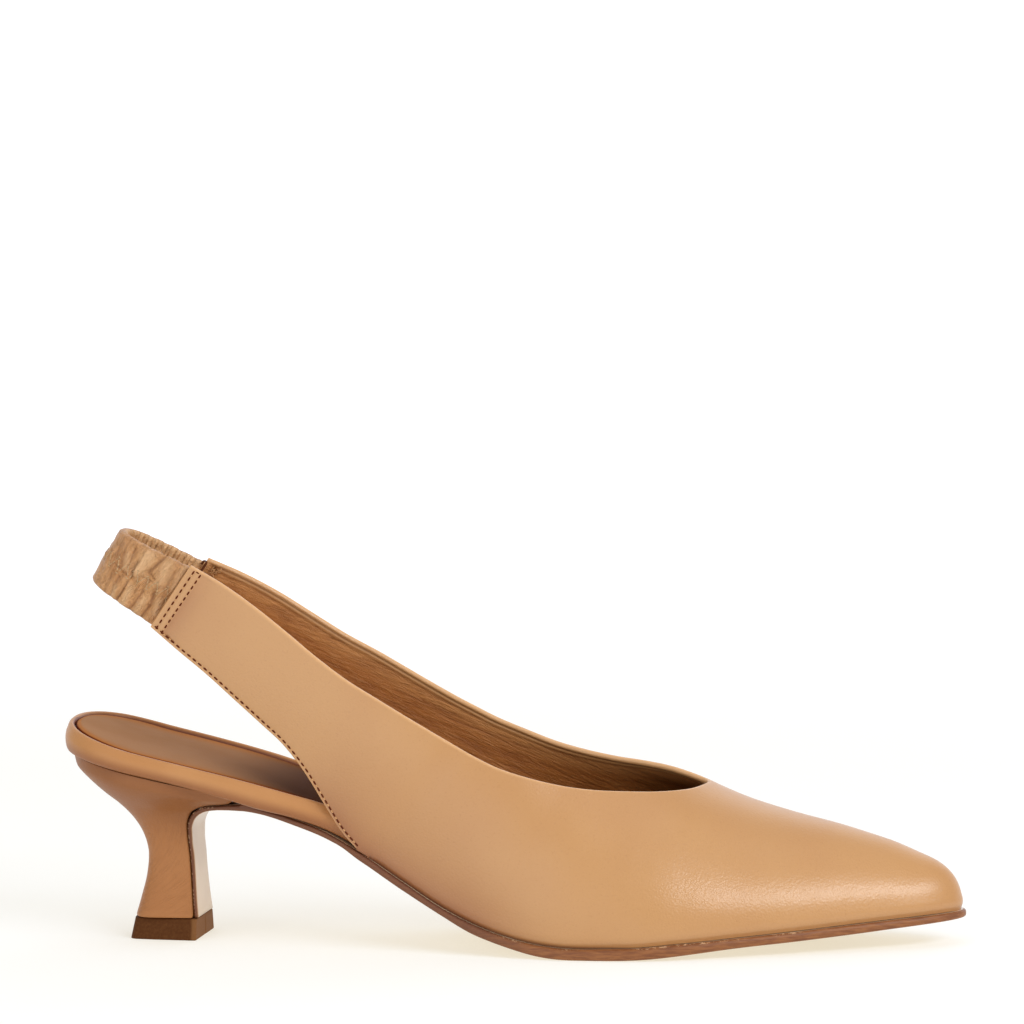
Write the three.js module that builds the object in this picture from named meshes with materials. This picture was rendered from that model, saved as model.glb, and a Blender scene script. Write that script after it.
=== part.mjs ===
import * as THREE from "three";

// Slingback pump with a spool heel, right foot, in millimetres.
// Along runs from the back of the seat to the toe, in is the inner side of the foot, up is up.

const LENGTH = 260; // back of the seat to the tip of the sole
const HALF_BALL = 37; // half the width of the sole at the ball
const SEAT_RISE = 54.5; // floor to the underside of the footbed at its back
const COLLAR_RISE = 109; // floor to the highest corner of the quarters
const WALL = 1.6; // leather and lining of the upper
const GAP = 0.3; // play between pieces that meet
const LEDGE = 1; // sole edge standing out round the upper
const SEAT_ROUND = 24; // length of the rounded back of the seat
const TOE_ROUND = 16; // length of the rounded end of the toe in plan
const CAP_ROUND = 21; // length over which the vamp turns down at the tip
const SQUARE = 2.3; // roundness of the seat and the toe in plan, 2 is an ellipse
const CAP_SQUARE = 2.1; // roundness of the tip seen from the side
const SOCK = 1; // thickness of the sock
const RIM_ROLL = 2.8; // width of the rolled edge round the sock
const RIM_CROWN = 0.5; // how far the roll stands over the seat of the sock
const BED_PLAY = 0.2; // more room between the footbed and the upper
const STRAP_THICK = 3;
const STRAP_LOOP = 24.4; // quarter end to the back of the strap
const STRAP_SEATED = 5; // length of strap held inside each quarter
const STRAP_SPREAD = 0.19; // how fast the legs part inside the quarters
const STRAP_BEND = 11; // depth of the turn round the back of the ankle
const STRAP_EDGE = 0.05; // share of the quarter end left free above and below the strap
const STRAP_TOP_TILT = 25.5; // degrees by which the strap climbs to the back along its top edge
const STRAP_FOOT_TILT = 33.5; // and along its lower edge, so that the band narrows to the back
const STRAP_FOOT_PACE = 0.91; // run of the lower edge for each run of the top edge
const PIECE_RISE = 6.1; // height of the top piece
const PIECE_LIP = 1.2; // top piece standing out in front of the heel, under the sole
const PIECE_CORNER = 3; // rounding of its back corners
const PIECE_TAPER = 1.7; // how much narrower each side is at the back
const PIECE_FLARE = 0.7; // how much its sides and its back spread from its top to the floor

const BODY_STEP = 7; // longest station step along the shoe
const END_STEPS = 8; // stations in each rounded end
const SECTION_STEPS = 11; // points up each side of the upper
const LEG_STEPS = 7; // steps along each leg of the strap
const BEND_STEPS = 12; // steps round each half of its turn
const SIDE_STEPS = 7; // steps along each flank of the heel
const BACK_STEPS = 8; // steps round each half of its back
const SOLE_FROM = 0.2077; // share of the length where the sole leaves the heel

function table(names, rows) {
  return rows.map((row) => Object.fromEntries(names.map((name, i) => [name, row[i]])));
}

// Plan of the lasted edge: shares of the length, and of half the ball width.
const PLAN = table(["along", "centre", "half"], [
  [0, 0, 0.6486], // back of the seat
  [0.0923, 0, 0.6622], // seat
  [0.1731, -0.0135, 0.6486], // breast
  [0.25, -0.0432, 0.6], // shank
  [0.3269, -0.0784, 0.5676], // waist
  [0.3846, -0.0919, 0.6054], // waist front
  [0.4423, -0.0838, 0.7081], // wing front
  [0.5, -0.0568, 0.8378], // outside joint
  [0.5577, -0.027, 0.9459], // ball rear
  [0.6077, -0.0027, 0.9919], // ball, outside
  [0.6577, 0.0135, 1], // ball, inside
  [0.7154, 0.0324, 0.9459], // toes
  [0.7692, 0.0541, 0.8405], // toe box
  [0.8269, 0.0757, 0.7054], // toe box front
  [0.8846, 0.0973, 0.5459], // point
  [0.9423, 0.1189, 0.3838], // point front
  [1, 0.1351, 0.2486], // tip
]);

// Lines of the sole from the side: underside and top of the sole, seat under the footbed, top of
// the footbed; then how far the sole tucks in, how much of the footbed is inside the upper, its rim.
const RISE = table(["along", "under", "sole", "seat", "bed", "tuck", "inside", "rim"], [
  [0, 0.9761, 0.9982, 1.0037, 1.1431, 0, 0, 1], // back of the seat
  [0.0923, 0.8771, 0.8991, 0.9046, 1.0275, 0, 0, 1], // seat
  [0.1538, 0.7046, 0.7303, 0.8385, 0.9578, 0.3243, 0, 1], // breast
  [0.2, 0.7101, 0.7431, 0.778, 0.9046, 0.1946, 0, 1], // heel front
  [0.2308, 0.6991, 0.7266, 0.7321, 0.8661, 0.1324, 0, 1], // shank
  [0.2731, 0.6422, 0.6752, 0.6807, 0.8055, 0.0838, 0.26, 1], // shank front
  [0.3077, 0.5817, 0.6147, 0.6202, 0.7468, 0.0541, 0.55, 1], // waist
  [0.3462, 0.4881, 0.5174, 0.5229, 0.6404, 0.0162, 0.84, 0.7], // wing foot
  [0.3962, 0.3413, 0.3706, 0.3761, 0.4807, 0, 1, 0.3], // waist front
  [0.4423, 0.2165, 0.2422, 0.2477, 0.3413, 0, 1, 0.3], // arch
  [0.4846, 0.1101, 0.1541, 0.1596, 0.2422, 0, 1, 0.3], // arch front
  [0.5269, 0.0404, 0.0954, 0.1009, 0.1743, 0, 1, 0.3], // ball rear
  [0.5654, 0, 0.0661, 0.0716, 0.1394, 0, 1, 0.3], // rest rear
  [0.6462, 0, 0.0642, 0.0697, 0.1339, 0, 1, 0.3], // rest front
  [0.7, 0.0202, 0.0826, 0.0881, 0.1468, 0, 1, 0.3], // toe spring
  [0.7577, 0.0514, 0.1028, 0.1083, 0.1651, 0, 1, 0.3], // toes
  [0.8231, 0.0734, 0.1248, 0.1303, 0.1872, 0, 1, 0.3], // toe box
  [0.8923, 0.0991, 0.1486, 0.1541, 0.211, 0, 1, 0.3], // point
  [0.95, 0.1229, 0.167, 0.1725, 0.2294, 0, 1, 0.3], // point front
  [1, 0.1394, 0.178, 0.1835, 0.2404, 0, 1, 0.3], // tip
]);

// Quarters behind the sole: lower edge, top corner of each section, and its swell.
const WING = table(["foot", "rise", "out", "in", "top", "topOut", "topIn", "swellFoot", "swellTop"], [
  [0.1058, 0.8349, 0.3216, 0.3216, 0.1531, 0.3108, 0.3108, 0.0135, 0.0135], // quarter end
  [0.1365, 0.7761, 0.3622, 0.3676, 0.1904, 0.3649, 0.3757, 0.0162, 0.0162], // end of the strap
  [0.1731, 0.7101, 0.4189, 0.427, 0.2288, 0.4405, 0.4486, 0.0216, 0.0189], // wing rear
  [0.2038, 0.6495, 0.4703, 0.4703, 0.2654, 0.5027, 0.5081, 0.027, 0.0216], // wing
  [0.2346, 0.589, 0.5216, 0.5081, 0.3019, 0.5649, 0.5676, 0.0324, 0.0243], // wing middle
  [0.2635, 0.5294, 0.5676, 0.5297, 0.3385, 0.6216, 0.6108, 0.0405, 0.0297], // wing
  [0.2865, 0.4624, 0.6027, 0.5351, 0.3692, 0.6541, 0.6351, 0.0514, 0.0378], // wing front
  [0.3077, 0.3853, 0.6324, 0.527, 0.3962, 0.6757, 0.6486, 0.0649, 0.0486], // over the bed
  [0.3269, 0.3138, 0.6432, 0.5054, 0.4192, 0.6892, 0.6595, 0.0784, 0.0595], // beside the bed
  [0.3442, 0.2647, 0.6378, 0.473, 0.4423, 0.7, 0.6649, 0.0892, 0.0703], // wing foot
]);

// Height of the topline on the outer and the inner side.
const TOPLINE = table(["along", "out", "in"], [
  [0.1531, 0.9991, 1], // quarter end
  [0.1904, 0.9514, 0.9578], // end of the strap
  [0.2288, 0.8936, 0.9046], // wing rear
  [0.2654, 0.8303, 0.8459], // wing
  [0.3019, 0.7642, 0.7872], // wing middle
  [0.3385, 0.7055, 0.7376], // wing
  [0.3692, 0.6642, 0.6936], // wing front
  [0.3962, 0.6275, 0.656], // waist
  [0.4192, 0.5963, 0.6248], // waist
  [0.4423, 0.5651, 0.5963], // waist front
  [0.4692, 0.5284, 0.5633], // arch
  [0.5019, 0.4899, 0.5321], // arch
  [0.5365, 0.4624, 0.5028], // arch front
  [0.5731, 0.4404, 0.4817], // ball rear
  [0.6077, 0.4275, 0.4679], // ball
  [0.6423, 0.4202, 0.4587], // ball front
  [0.6731, 0.4156, 0.4477], // throat side
  [0.6981, 0.4147, 0.4321], // throat side
  [0.71, 0.4165, 0.4239], // throat
  [0.7185, 0.4197, 0.4197], // throat point
]);

// Height of the ridge of the last, from over the waist to the tip.
const INSTEP = table(["along", "rise"], [
  [0.4538, 0.7486], // waist
  [0.4846, 0.7046], // arch
  [0.5192, 0.6569], // arch front
  [0.5692, 0.5927], // ball rear
  [0.6154, 0.5394], // ball
  [0.6615, 0.4844], // ball front
  [0.7, 0.4413], // throat side
  [0.7185, 0.4197], // throat point
  [0.7538, 0.3826], // vamp
  [0.8077, 0.3413], // vamp middle
  [0.8615, 0.3083], // toe box
  [0.9154, 0.2697], // point
  [0.9577, 0.2468], // point front
  [0.9962, 0.2532], // tip
]);

// Sections over the lasted part: forward lean, place of the ridge, swell over the foot of the
// section and breadth of its top on each side, and how high the lower swell reaches.
const DOME = table(["foot", "lean", "across", "footOut", "topOut", "footIn", "topIn", "rise"], [
  [0.3442, 0.1431, 0, 0.0865, 0.9919, 0.1351, 1.0541, 0.3], // wing foot
  [0.3769, 0.1335, 0.0162, 0.0973, 0.9892, 0.1622, 1.0378, 0.3], // waist front
  [0.4154, 0.1231, 0.0324, 0.1081, 0.9649, 0.1757, 0.9622, 0.3], // arch
  [0.4615, 0.1031, 0.0541, 0.1216, 0.9189, 0.1757, 0.827, 0.3], // arch front
  [0.5115, 0.0815, 0.0757, 0.1243, 0.8324, 0.1514, 0.6865, 0.3], // ball rear
  [0.5615, 0.0588, 0.0919, 0.1243, 0.7595, 0.1351, 0.5892, 0.3], // ball
  [0.6077, 0.0415, 0.1081, 0.1216, 0.7027, 0.1216, 0.5676, 0.3], // ball front
  [0.65, 0.0262, 0.1216, 0.1189, 0.6703, 0.1162, 0.5514, 0.3], // throat rear
  [0.6846, 0.0142, 0.1297, 0.1135, 0.6378, 0.1108, 0.5243, 0.3], // throat side
  [0.7185, 0, 0.1351, 0.1108, 0.5946, 0.1081, 0.4865, 0.3], // throat point
  [0.7538, 0, 0.1405, 0.1054, 0.5541, 0.1027, 0.4541, 0.3], // vamp
  [0.8077, 0, 0.1459, 0.0973, 0.4757, 0.0973, 0.4, 0.31], // vamp middle
  [0.8615, 0, 0.1486, 0.0865, 0.373, 0.0865, 0.3243, 0.32], // toe box
  [0.9154, 0, 0.1459, 0.0757, 0.2703, 0.0757, 0.2432, 0.33], // point
  [0.9962, 0, 0.1351, 0.0486, 0.1486, 0.0486, 0.1351, 0.33], // tip
]);

// Rings of the heel; rises are shares from its foot up to the seat, square rounds its back.
const HEEL = table(["back", "backRise", "front", "frontRise", "half", "frontHalf", "square"], [
  [0.0765, 0, 0.1462, 0, 0.2865, 0.2784, 3.4], // foot of the heel
  [0.0827, 0.1164, 0.1446, 0.1164, 0.2595, 0.2486, 3.2], // ankle
  [0.0888, 0.2474, 0.1431, 0.2474, 0.2378, 0.227, 3], // ankle
  [0.0912, 0.368, 0.1419, 0.368, 0.2324, 0.2216, 2.9], // narrowest
  [0.0885, 0.4595, 0.1404, 0.4595, 0.2459, 0.227, 2.8], // neck
  [0.0827, 0.5322, 0.14, 0.5322, 0.2757, 0.2378, 2.6], // neck
  [0.0715, 0.6216, 0.1419, 0.5946, 0.3378, 0.2568, 2.5], // flare
  [0.0596, 0.6881, 0.1465, 0.6403, 0.4054, 0.2811, 2.4], // flare
  [0.0423, 0.7651, 0.1577, 0.6736, 0.5, 0.3189, 2.3], // cup
  [0.0242, 0.8524, 0.1731, 0.6944, 0.5811, 0.3676, 2.2], // cup
  [0.0123, 0.921, 0.1931, 0.7089, 0.6243, 0.427, 2.2], // cup top
  [0.0073, 0.9938, 0.2115, 0.7318, 0.6297, 0.4703, 2.2], // seat
]);

// Path of the sole down the breast, between the same heights: ground side, heel side, half width.
const BREAST = table(["ground", "groundRise", "heel", "heelRise", "half"], [
  [0.1523, 0.0021, 0.1473, 0.0021, 0.2514], // foot of the flap
  [0.1504, 0.1164, 0.1458, 0.1164, 0.2324], // flap
  [0.1488, 0.2474, 0.1442, 0.2474, 0.2135], // flap
  [0.1477, 0.368, 0.1431, 0.368, 0.2108], // flap
  [0.1462, 0.4595, 0.1415, 0.4595, 0.2189], // flap
  [0.1462, 0.5239, 0.1412, 0.5301, 0.2324], // top of the flap
  [0.1485, 0.5759, 0.1435, 0.5925, 0.2514], // bend
  [0.1542, 0.6175, 0.1496, 0.6383, 0.2757], // bend
  [0.1638, 0.6466, 0.1604, 0.6715, 0.3108], // bend
  [0.1788, 0.6632, 0.1769, 0.6881, 0.3676], // under the heel
  [0.1942, 0.6694, 0.1935, 0.7006, 0.4162], // under the heel
]);

// Smooth curve through one column of a table, keyed by the named column.
function through(rows, key, column, size) {
  const xs = rows.map((row) => row[key]);
  const ys = rows.map((row) => row[column] * size);
  const slopes = xs.map((_, i) => {
    if (i === 0 || i === xs.length - 1) {
      const j = i === 0 ? 0 : i - 1;
      return (ys[j + 1] - ys[j]) / (xs[j + 1] - xs[j]);
    }
    const back = xs[i] - xs[i - 1];
    const ahead = xs[i + 1] - xs[i];
    const before = (ys[i] - ys[i - 1]) / back;
    const after = (ys[i + 1] - ys[i]) / ahead;
    return before * after <= 0 ? 0 : (before * ahead + after * back) / (back + ahead);
  });
  return (x) => {
    let i = 0;
    while (i < xs.length - 2 && x > xs[i + 1]) {
      i += 1;
    }
    const width = xs[i + 1] - xs[i];
    const t = THREE.MathUtils.clamp((x - xs[i]) / width, 0, 1);
    const h = 1 - t;
    return (
      h * h * (1 + 2 * t) * ys[i] +
      t * t * (3 - 2 * t) * ys[i + 1] +
      h * h * t * width * slopes[i] -
      t * t * h * width * slopes[i + 1]
    );
  };
}

const plan = {
  centre: through(PLAN, "along", "centre", HALF_BALL),
  half: through(PLAN, "along", "half", HALF_BALL),
};

const rise = {};
for (const name of ["under", "sole", "seat", "bed"]) {
  rise[name] = through(RISE, "along", name, SEAT_RISE);
}
for (const name of ["inside", "rim"]) {
  rise[name] = through(RISE, "along", name, 1);
}
rise.tuck = through(RISE, "along", "tuck", HALF_BALL);
const bedInset = (share) => rise.inside(share) * (LEDGE + WALL + GAP + BED_PLAY);
const heelUp = (share) => THREE.MathUtils.lerp(PIECE_RISE + GAP, SEAT_RISE, share);

// Share left of a width where a rounded end has run through the share gone.
function rounded(gone, square = SQUARE) {
  return Math.pow(Math.max(0, 1 - Math.pow(Math.min(1, Math.max(0, gone)), square)), 1 / square);
}

// Edge of the plan at a station, drawn in by an inset: along, outer side, inner side.
function edge(station, inset) {
  const share = station / LENGTH;
  const centre = plan.centre(share);
  const seatGone = 1 - station / SEAT_ROUND;
  const toeGone = 1 - (LENGTH - station) / TOE_ROUND;
  let along = station;
  let half = plan.half(share) - inset;
  if (seatGone > 0) {
    along = SEAT_ROUND - (SEAT_ROUND - inset) * seatGone;
    half *= rounded(seatGone);
  }
  if (toeGone > 0) {
    along = LENGTH - TOE_ROUND + (TOE_ROUND - inset) * toeGone;
    half *= rounded(toeGone);
  }
  return { along, out: centre - half, in: centre + half };
}

// Stations from one place to another, closing up in the rounded ends.
function stations(from, to) {
  const list = [];
  if (from === 0) {
    for (let k = 0; k < END_STEPS; k += 1) {
      list.push(SEAT_ROUND * (1 - Math.cos((k / END_STEPS) * (Math.PI / 2))));
    }
  }
  const start = from === 0 ? SEAT_ROUND : from;
  const stop = to === LENGTH ? LENGTH - TOE_ROUND : to;
  const count = Math.ceil((stop - start) / BODY_STEP);
  for (let k = 0; k <= count; k += 1) {
    list.push(start + ((stop - start) * k) / count);
  }
  if (to === LENGTH) {
    for (let k = 1; k <= END_STEPS; k += 1) {
      list.push(stop + TOE_ROUND * Math.sin((k / END_STEPS) * (Math.PI / 2)));
    }
  }
  return list;
}

// A closed body gathered from faces; equal corners become one and flat slivers are left out.
class Body {
  constructor(name, colour, roughness) {
    this.name = name;
    this.colour = colour;
    this.roughness = roughness;
    this.corners = new Map();
    this.places = [];
    this.faces = [];
  }

  corner(point) {
    const key = [point.x, point.y, point.z].map((v) => Math.round(v * 2000)).join(" ");
    if (!this.corners.has(key)) {
      this.corners.set(key, this.places.length / 3);
      this.places.push(point.x, point.y, point.z);
    }
    return this.corners.get(key);
  }

  triangle(a, b, c) {
    const [i, j, k] = [a, b, c].map((point) => this.corner(point));
    if (i !== j && j !== k && k !== i) {
      this.faces.push(i, j, k);
    }
  }

  quad(a, b, c, d) {
    if (a.distanceToSquared(c) <= b.distanceToSquared(d)) {
      this.triangle(a, b, c);
      this.triangle(a, c, d);
    } else {
      this.triangle(a, b, d);
      this.triangle(b, c, d);
    }
  }

  fan(ring, reversed) {
    const middle = new THREE.Vector3();
    ring.forEach((point) => middle.add(point));
    middle.divideScalar(ring.length);
    ring.forEach((point, i) => {
      const next = ring[(i + 1) % ring.length];
      this.triangle(middle, reversed ? next : point, reversed ? point : next);
    });
  }

  // Closed rings joined one to the next, with the open ends filled where asked.
  loft(rings, fillFirst, fillLast) {
    for (let k = 0; k + 1 < rings.length; k += 1) {
      const [near, far] = [rings[k], rings[k + 1]];
      near.forEach((point, i) => {
        const j = (i + 1) % near.length;
        this.quad(point, near[j], far[j], far[i]);
      });
    }
    if (fillFirst) {
      this.fan(rings[0], true);
    }
    if (fillLast) {
      this.fan(rings[rings.length - 1], false);
    }
    return this;
  }

  volume() {
    let sum = 0;
    const at = (i) => new THREE.Vector3().fromArray(this.places, i * 3);
    for (let f = 0; f < this.faces.length; f += 3) {
      const [a, b, c] = [0, 1, 2].map((i) => at(this.faces[f + i]));
      sum += a.dot(b.cross(c)) / 6;
    }
    return sum;
  }

  mesh() {
    const faces = this.volume() < 0 ? [...this.faces].reverse() : this.faces;
    const geometry = new THREE.BufferGeometry();
    geometry.setAttribute("position", new THREE.Float32BufferAttribute(this.places, 3));
    geometry.setIndex(faces);
    geometry.computeVertexNormals();
    const material = new THREE.MeshStandardMaterial({
      color: this.colour,
      roughness: this.roughness,
      metalness: 0,
    });
    const mesh = new THREE.Mesh(geometry, material);
    mesh.name = this.name;
    return mesh;
  }
}

const at = (along, across, up) => new THREE.Vector3(along, across, up);

// Sole: from the foot of its flap round the breast, along the shank and out to the tip.
function outsole() {
  const rings = [];
  for (const row of BREAST) {
    const half = row.half * HALF_BALL;
    const ground = [row.ground * LENGTH, heelUp(row.groundRise)];
    const heel = [row.heel * LENGTH, heelUp(row.heelRise)];
    const centre = plan.centre(row.ground);
    const spot = (share, across) =>
      at(
        THREE.MathUtils.lerp(ground[0], heel[0], share),
        centre + across,
        THREE.MathUtils.lerp(ground[1], heel[1], share)
      );
    rings.push([
      spot(0, 0),
      spot(0, half - 0.3),
      spot(0.25, half),
      spot(0.8, half),
      spot(1, half - 0.2),
      spot(1, 0),
      spot(1, 0.2 - half),
      spot(0.8, -half),
      spot(0.25, -half),
      spot(0, 0.3 - half),
    ]);
  }
  for (const station of stations(SOLE_FROM * LENGTH, LENGTH)) {
    const share = station / LENGTH;
    const tuck = rise.tuck(share);
    const thick = rise.sole(share) - rise.under(share);
    const levels = [
      [0, thick * 0.28],
      [0.3, 0.1],
      [0.75, 0.1],
      [1, thick * 0.12],
    ].map(([level, inset]) => {
      const side = edge(station, tuck + inset);
      return { side, up: rise.under(share) + thick * level };
    });
    const middle = (level) => at(levels[level].side.along, plan.centre(share), levels[level].up);
    rings.push([
      middle(0),
      ...levels.map(({ side, up }) => at(side.along, side.in, up)),
      middle(3),
      ...levels.map(({ side, up }) => at(side.along, side.out, up)).reverse(),
    ]);
  }
  return new Body("outsole", "#8a5a38", 0.45).loft(rings, true, false).mesh();
}

// Flat slab with a rolled edge between two heights, drawn in from the plan.
function slab(body, list, levelsAt) {
  const rings = list.map((station) => {
    const levels = levelsAt(station / LENGTH).map(({ inset, up }) => ({ side: edge(station, inset), up }));
    return [
      ...levels.map(({ side, up }) => at(side.along, side.in, up)),
      ...levels.map(({ side, up }) => at(side.along, side.out, up)).reverse(),
    ];
  });
  return body.loft(rings, false, false).mesh();
}

function footbed() {
  return slab(new Body("footbed", "#cc9a68", 0.5), stations(0, LENGTH), (share) => {
    const low = rise.seat(share) + GAP;
    const thick = rise.bed(share) - low;
    const inset = bedInset(share);
    const roll = rise.rim(share) * RIM_ROLL;
    return [
      { inset: inset + roll * 0.5, up: low },
      { inset: inset + roll * 0.1, up: low + thick * 0.2 },
      { inset, up: low + thick * 0.45 },
      { inset: inset + roll * 0.06, up: low + thick * 0.74 },
      { inset: inset + roll * 0.24, up: low + thick * 0.95 },
      { inset: inset + roll * 0.55, up: low + thick + RIM_CROWN * rise.rim(share) },
      { inset: inset + roll, up: low + thick },
    ];
  });
}

function sock() {
  return slab(new Body("sock", "#8a6a4c", 0.6), stations(0, LENGTH), (share) => {
    const inset = bedInset(share) + rise.rim(share) * RIM_ROLL;
    const low = rise.bed(share) + GAP;
    return [
      { inset: inset + 0.3, up: low },
      { inset: inset + 0.5, up: low + SOCK * 0.7 },
      { inset: inset + 1.2, up: low + SOCK },
    ];
  });
}

// Heel: rings tilt from level at the foot to the slope of the seat.
function heel() {
  const rings = HEEL.map((row, k) => {
    const back = row.back * LENGTH;
    const front = row.front * LENGTH;
    const sideShare = 0.5;
    const side = [];
    for (let i = 0; i <= SIDE_STEPS; i += 1) {
      const share = i / SIDE_STEPS;
      const swell = Math.sin((share * Math.PI) / 2);
      side.push([share * sideShare, THREE.MathUtils.lerp(row.frontHalf, row.half, swell) * HALF_BALL]);
    }
    for (let i = 1; i <= BACK_STEPS; i += 1) {
      const turn = (i / BACK_STEPS) * (Math.PI / 2);
      const gone = Math.pow(Math.sin(turn), 2 / row.square);
      side.push([sideShare + (1 - sideShare) * gone, row.half * HALF_BALL * rounded(gone, row.square)]);
    }
    const place = ([share, half], sign) => {
      const along = THREE.MathUtils.lerp(front, back, share);
      const flat = heelUp(THREE.MathUtils.lerp(row.frontRise, row.backRise, share));
      const up = k === HEEL.length - 1 ? rise.seat(along / LENGTH) : flat;
      return at(along, plan.centre(along / LENGTH) + sign * half, up);
    };
    return [
      ...side.map((spot) => place(spot, 1)),
      ...side.slice(0, -1).reverse().map((spot) => place(spot, -1)),
    ];
  });
  return new Body("heel", "#b07a48", 0.5).loft(rings, true, true).mesh();
}

// Top piece: square front corners, rounded back corners, spreading to the floor.
function topPiece() {
  const [foot] = HEEL;
  const front = foot.front * LENGTH + PIECE_LIP;
  const ring = (up, spread) => {
    const half = foot.half * HALF_BALL + spread;
    const length = front - foot.back * LENGTH + spread;
    const side = [
      [0, half],
      [length * 0.4, half - PIECE_TAPER * 0.4],
    ];
    for (let i = 0; i <= 5; i += 1) {
      const turn = (i / 5) * (Math.PI / 2);
      side.push([
        length - PIECE_CORNER * (1 - Math.sin(turn)),
        half - PIECE_TAPER - PIECE_CORNER * (1 - Math.cos(turn)),
      ]);
    }
    const place = ([back, across]) => at(front - back, across, up);
    return [...side.map(place), ...side.map(([back, across]) => place([back, -across])).reverse()];
  };
  const rings = [
    ring(0, PIECE_FLARE),
    ring(PIECE_RISE * 0.5, PIECE_FLARE * 0.4),
    ring(PIECE_RISE, 0),
  ];
  return new Body("top_piece", "#5e3a22", 0.6).loft(rings, true, true).mesh();
}

// Strap: a band that leaves one quarter, turns round the back of the ankle and enters the other.
const quarterFoot = at(WING[0].foot * LENGTH, 0, WING[0].rise * COLLAR_RISE);
const quarterTop = at(TOPLINE[0].along * LENGTH, 0, TOPLINE[0].out * COLLAR_RISE);

function strap() {
  const climb = (tilt) => at(-Math.cos(tilt), 0, Math.sin(tilt));
  const topWay = climb(THREE.MathUtils.degToRad(STRAP_TOP_TILT));
  const footWay = climb(THREE.MathUtils.degToRad(STRAP_FOOT_TILT));
  const legHalf = WING[0].topOut * HALF_BALL - WALL - GAP - BED_PLAY / 2 - STRAP_THICK / 2;
  const path = [];
  for (let i = 0; i < LEG_STEPS; i += 1) {
    const back = THREE.MathUtils.lerp(-STRAP_SEATED, STRAP_LOOP - STRAP_BEND, i / LEG_STEPS);
    const parted = back < 0 ? -back * STRAP_SPREAD : 0.4 * Math.sin((back / STRAP_LOOP) * Math.PI);
    path.push([back, legHalf + parted]);
  }
  const [, start] = path[LEG_STEPS - 1];
  for (let i = 0; i <= BEND_STEPS; i += 1) {
    const turn = (i / BEND_STEPS) * (Math.PI / 2);
    const back = STRAP_LOOP - STRAP_BEND * (1 - Math.sin(turn));
    path.push([back, (start - 0.2) * Math.pow(Math.cos(turn), 0.8)]);
  }
  const middle = [
    ...path.map(([back, half]) => [back, -half]),
    ...path.slice(0, -1).map(([back, half]) => [back, half]).reverse(),
  ];
  const rings = middle.map(([back, across], i) => {
    const before = middle[Math.max(0, i - 1)];
    const after = middle[Math.min(middle.length - 1, i + 1)];
    const heading = new THREE.Vector2(after[0] - before[0], after[1] - before[1]).normalize();
    const band = (share, out) => {
      const foot = quarterFoot.clone().addScaledVector(footWay, (back - out * heading.y) * STRAP_FOOT_PACE);
      const top = quarterTop.clone().addScaledVector(topWay, back - out * heading.y);
      const spot = foot.lerp(top, THREE.MathUtils.lerp(STRAP_EDGE, 1 - STRAP_EDGE, share));
      spot.y = across + out * heading.x;
      return spot;
    };
    const thick = STRAP_THICK / 2;
    return [
      band(0, 0.5 * thick),
      band(0.08, thick),
      band(0.5, thick),
      band(0.92, thick),
      band(1, 0.5 * thick),
      band(1, -0.5 * thick),
      band(0.92, -thick),
      band(0.5, -thick),
      band(0.08, -thick),
      band(0, -0.5 * thick),
    ];
  });
  return new Body("strap", "#c08a58", 0.55).loft(rings, true, true).mesh();
}

// Upper: sections from the lower edge to the topline or the ridge, on each side of the foot.
const wing = {};
for (const name of ["out", "in", "topOut", "topIn", "swellFoot", "swellTop"]) {
  wing[name] = through(WING, "foot", name, HALF_BALL);
}
wing.rise = through(WING, "foot", "rise", COLLAR_RISE);
wing.top = through(WING, "foot", "top", LENGTH);
const dome = {};
for (const name of ["across", "footOut", "topOut", "footIn", "topIn"]) {
  dome[name] = through(DOME, "foot", name, HALF_BALL);
}
dome.lean = through(DOME, "foot", "lean", LENGTH);
dome.rise = through(DOME, "foot", "rise", 1);
const topline = {
  out: through(TOPLINE, "along", "out", COLLAR_RISE),
  in: through(TOPLINE, "along", "in", COLLAR_RISE),
};
const instep = through(INSTEP, "along", "rise", COLLAR_RISE);
const WING_FOOT = WING[WING.length - 1].foot;
const THROAT = TOPLINE[TOPLINE.length - 1].along;

// Foot of a lasted section, on top of the sole.
function lastedFoot(share, inner) {
  const side = edge(share * LENGTH, LEDGE);
  const free = inner ? wing.in(WING_FOOT) : -wing.out(WING_FOOT);
  const join = THREE.MathUtils.clamp(((share - WING_FOOT) * LENGTH) / 10, 0, 1);
  const across = THREE.MathUtils.lerp(free, inner ? side.in : side.out, join);
  return at(side.along, across, rise.sole(share) + GAP);
}

// Pulls of a section of the quarters.
function wingPulls(share, inner) {
  const sign = inner ? 1 : -1;
  const top = wing.top(share);
  const height = (inner ? topline.in : topline.out)(top / LENGTH);
  const low = at(share * LENGTH, sign * (inner ? wing.in : wing.out)(share), wing.rise(share));
  const high = at(top, sign * (inner ? wing.topIn : wing.topOut)(share), height);
  const lowPull = low.clone().lerp(high, 1 / 3);
  const highPull = low.clone().lerp(high, 2 / 3);
  lowPull.y += sign * wing.swellFoot(share);
  highPull.y += sign * wing.swellTop(share);
  return [low, lowPull, highPull, high];
}

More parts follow.
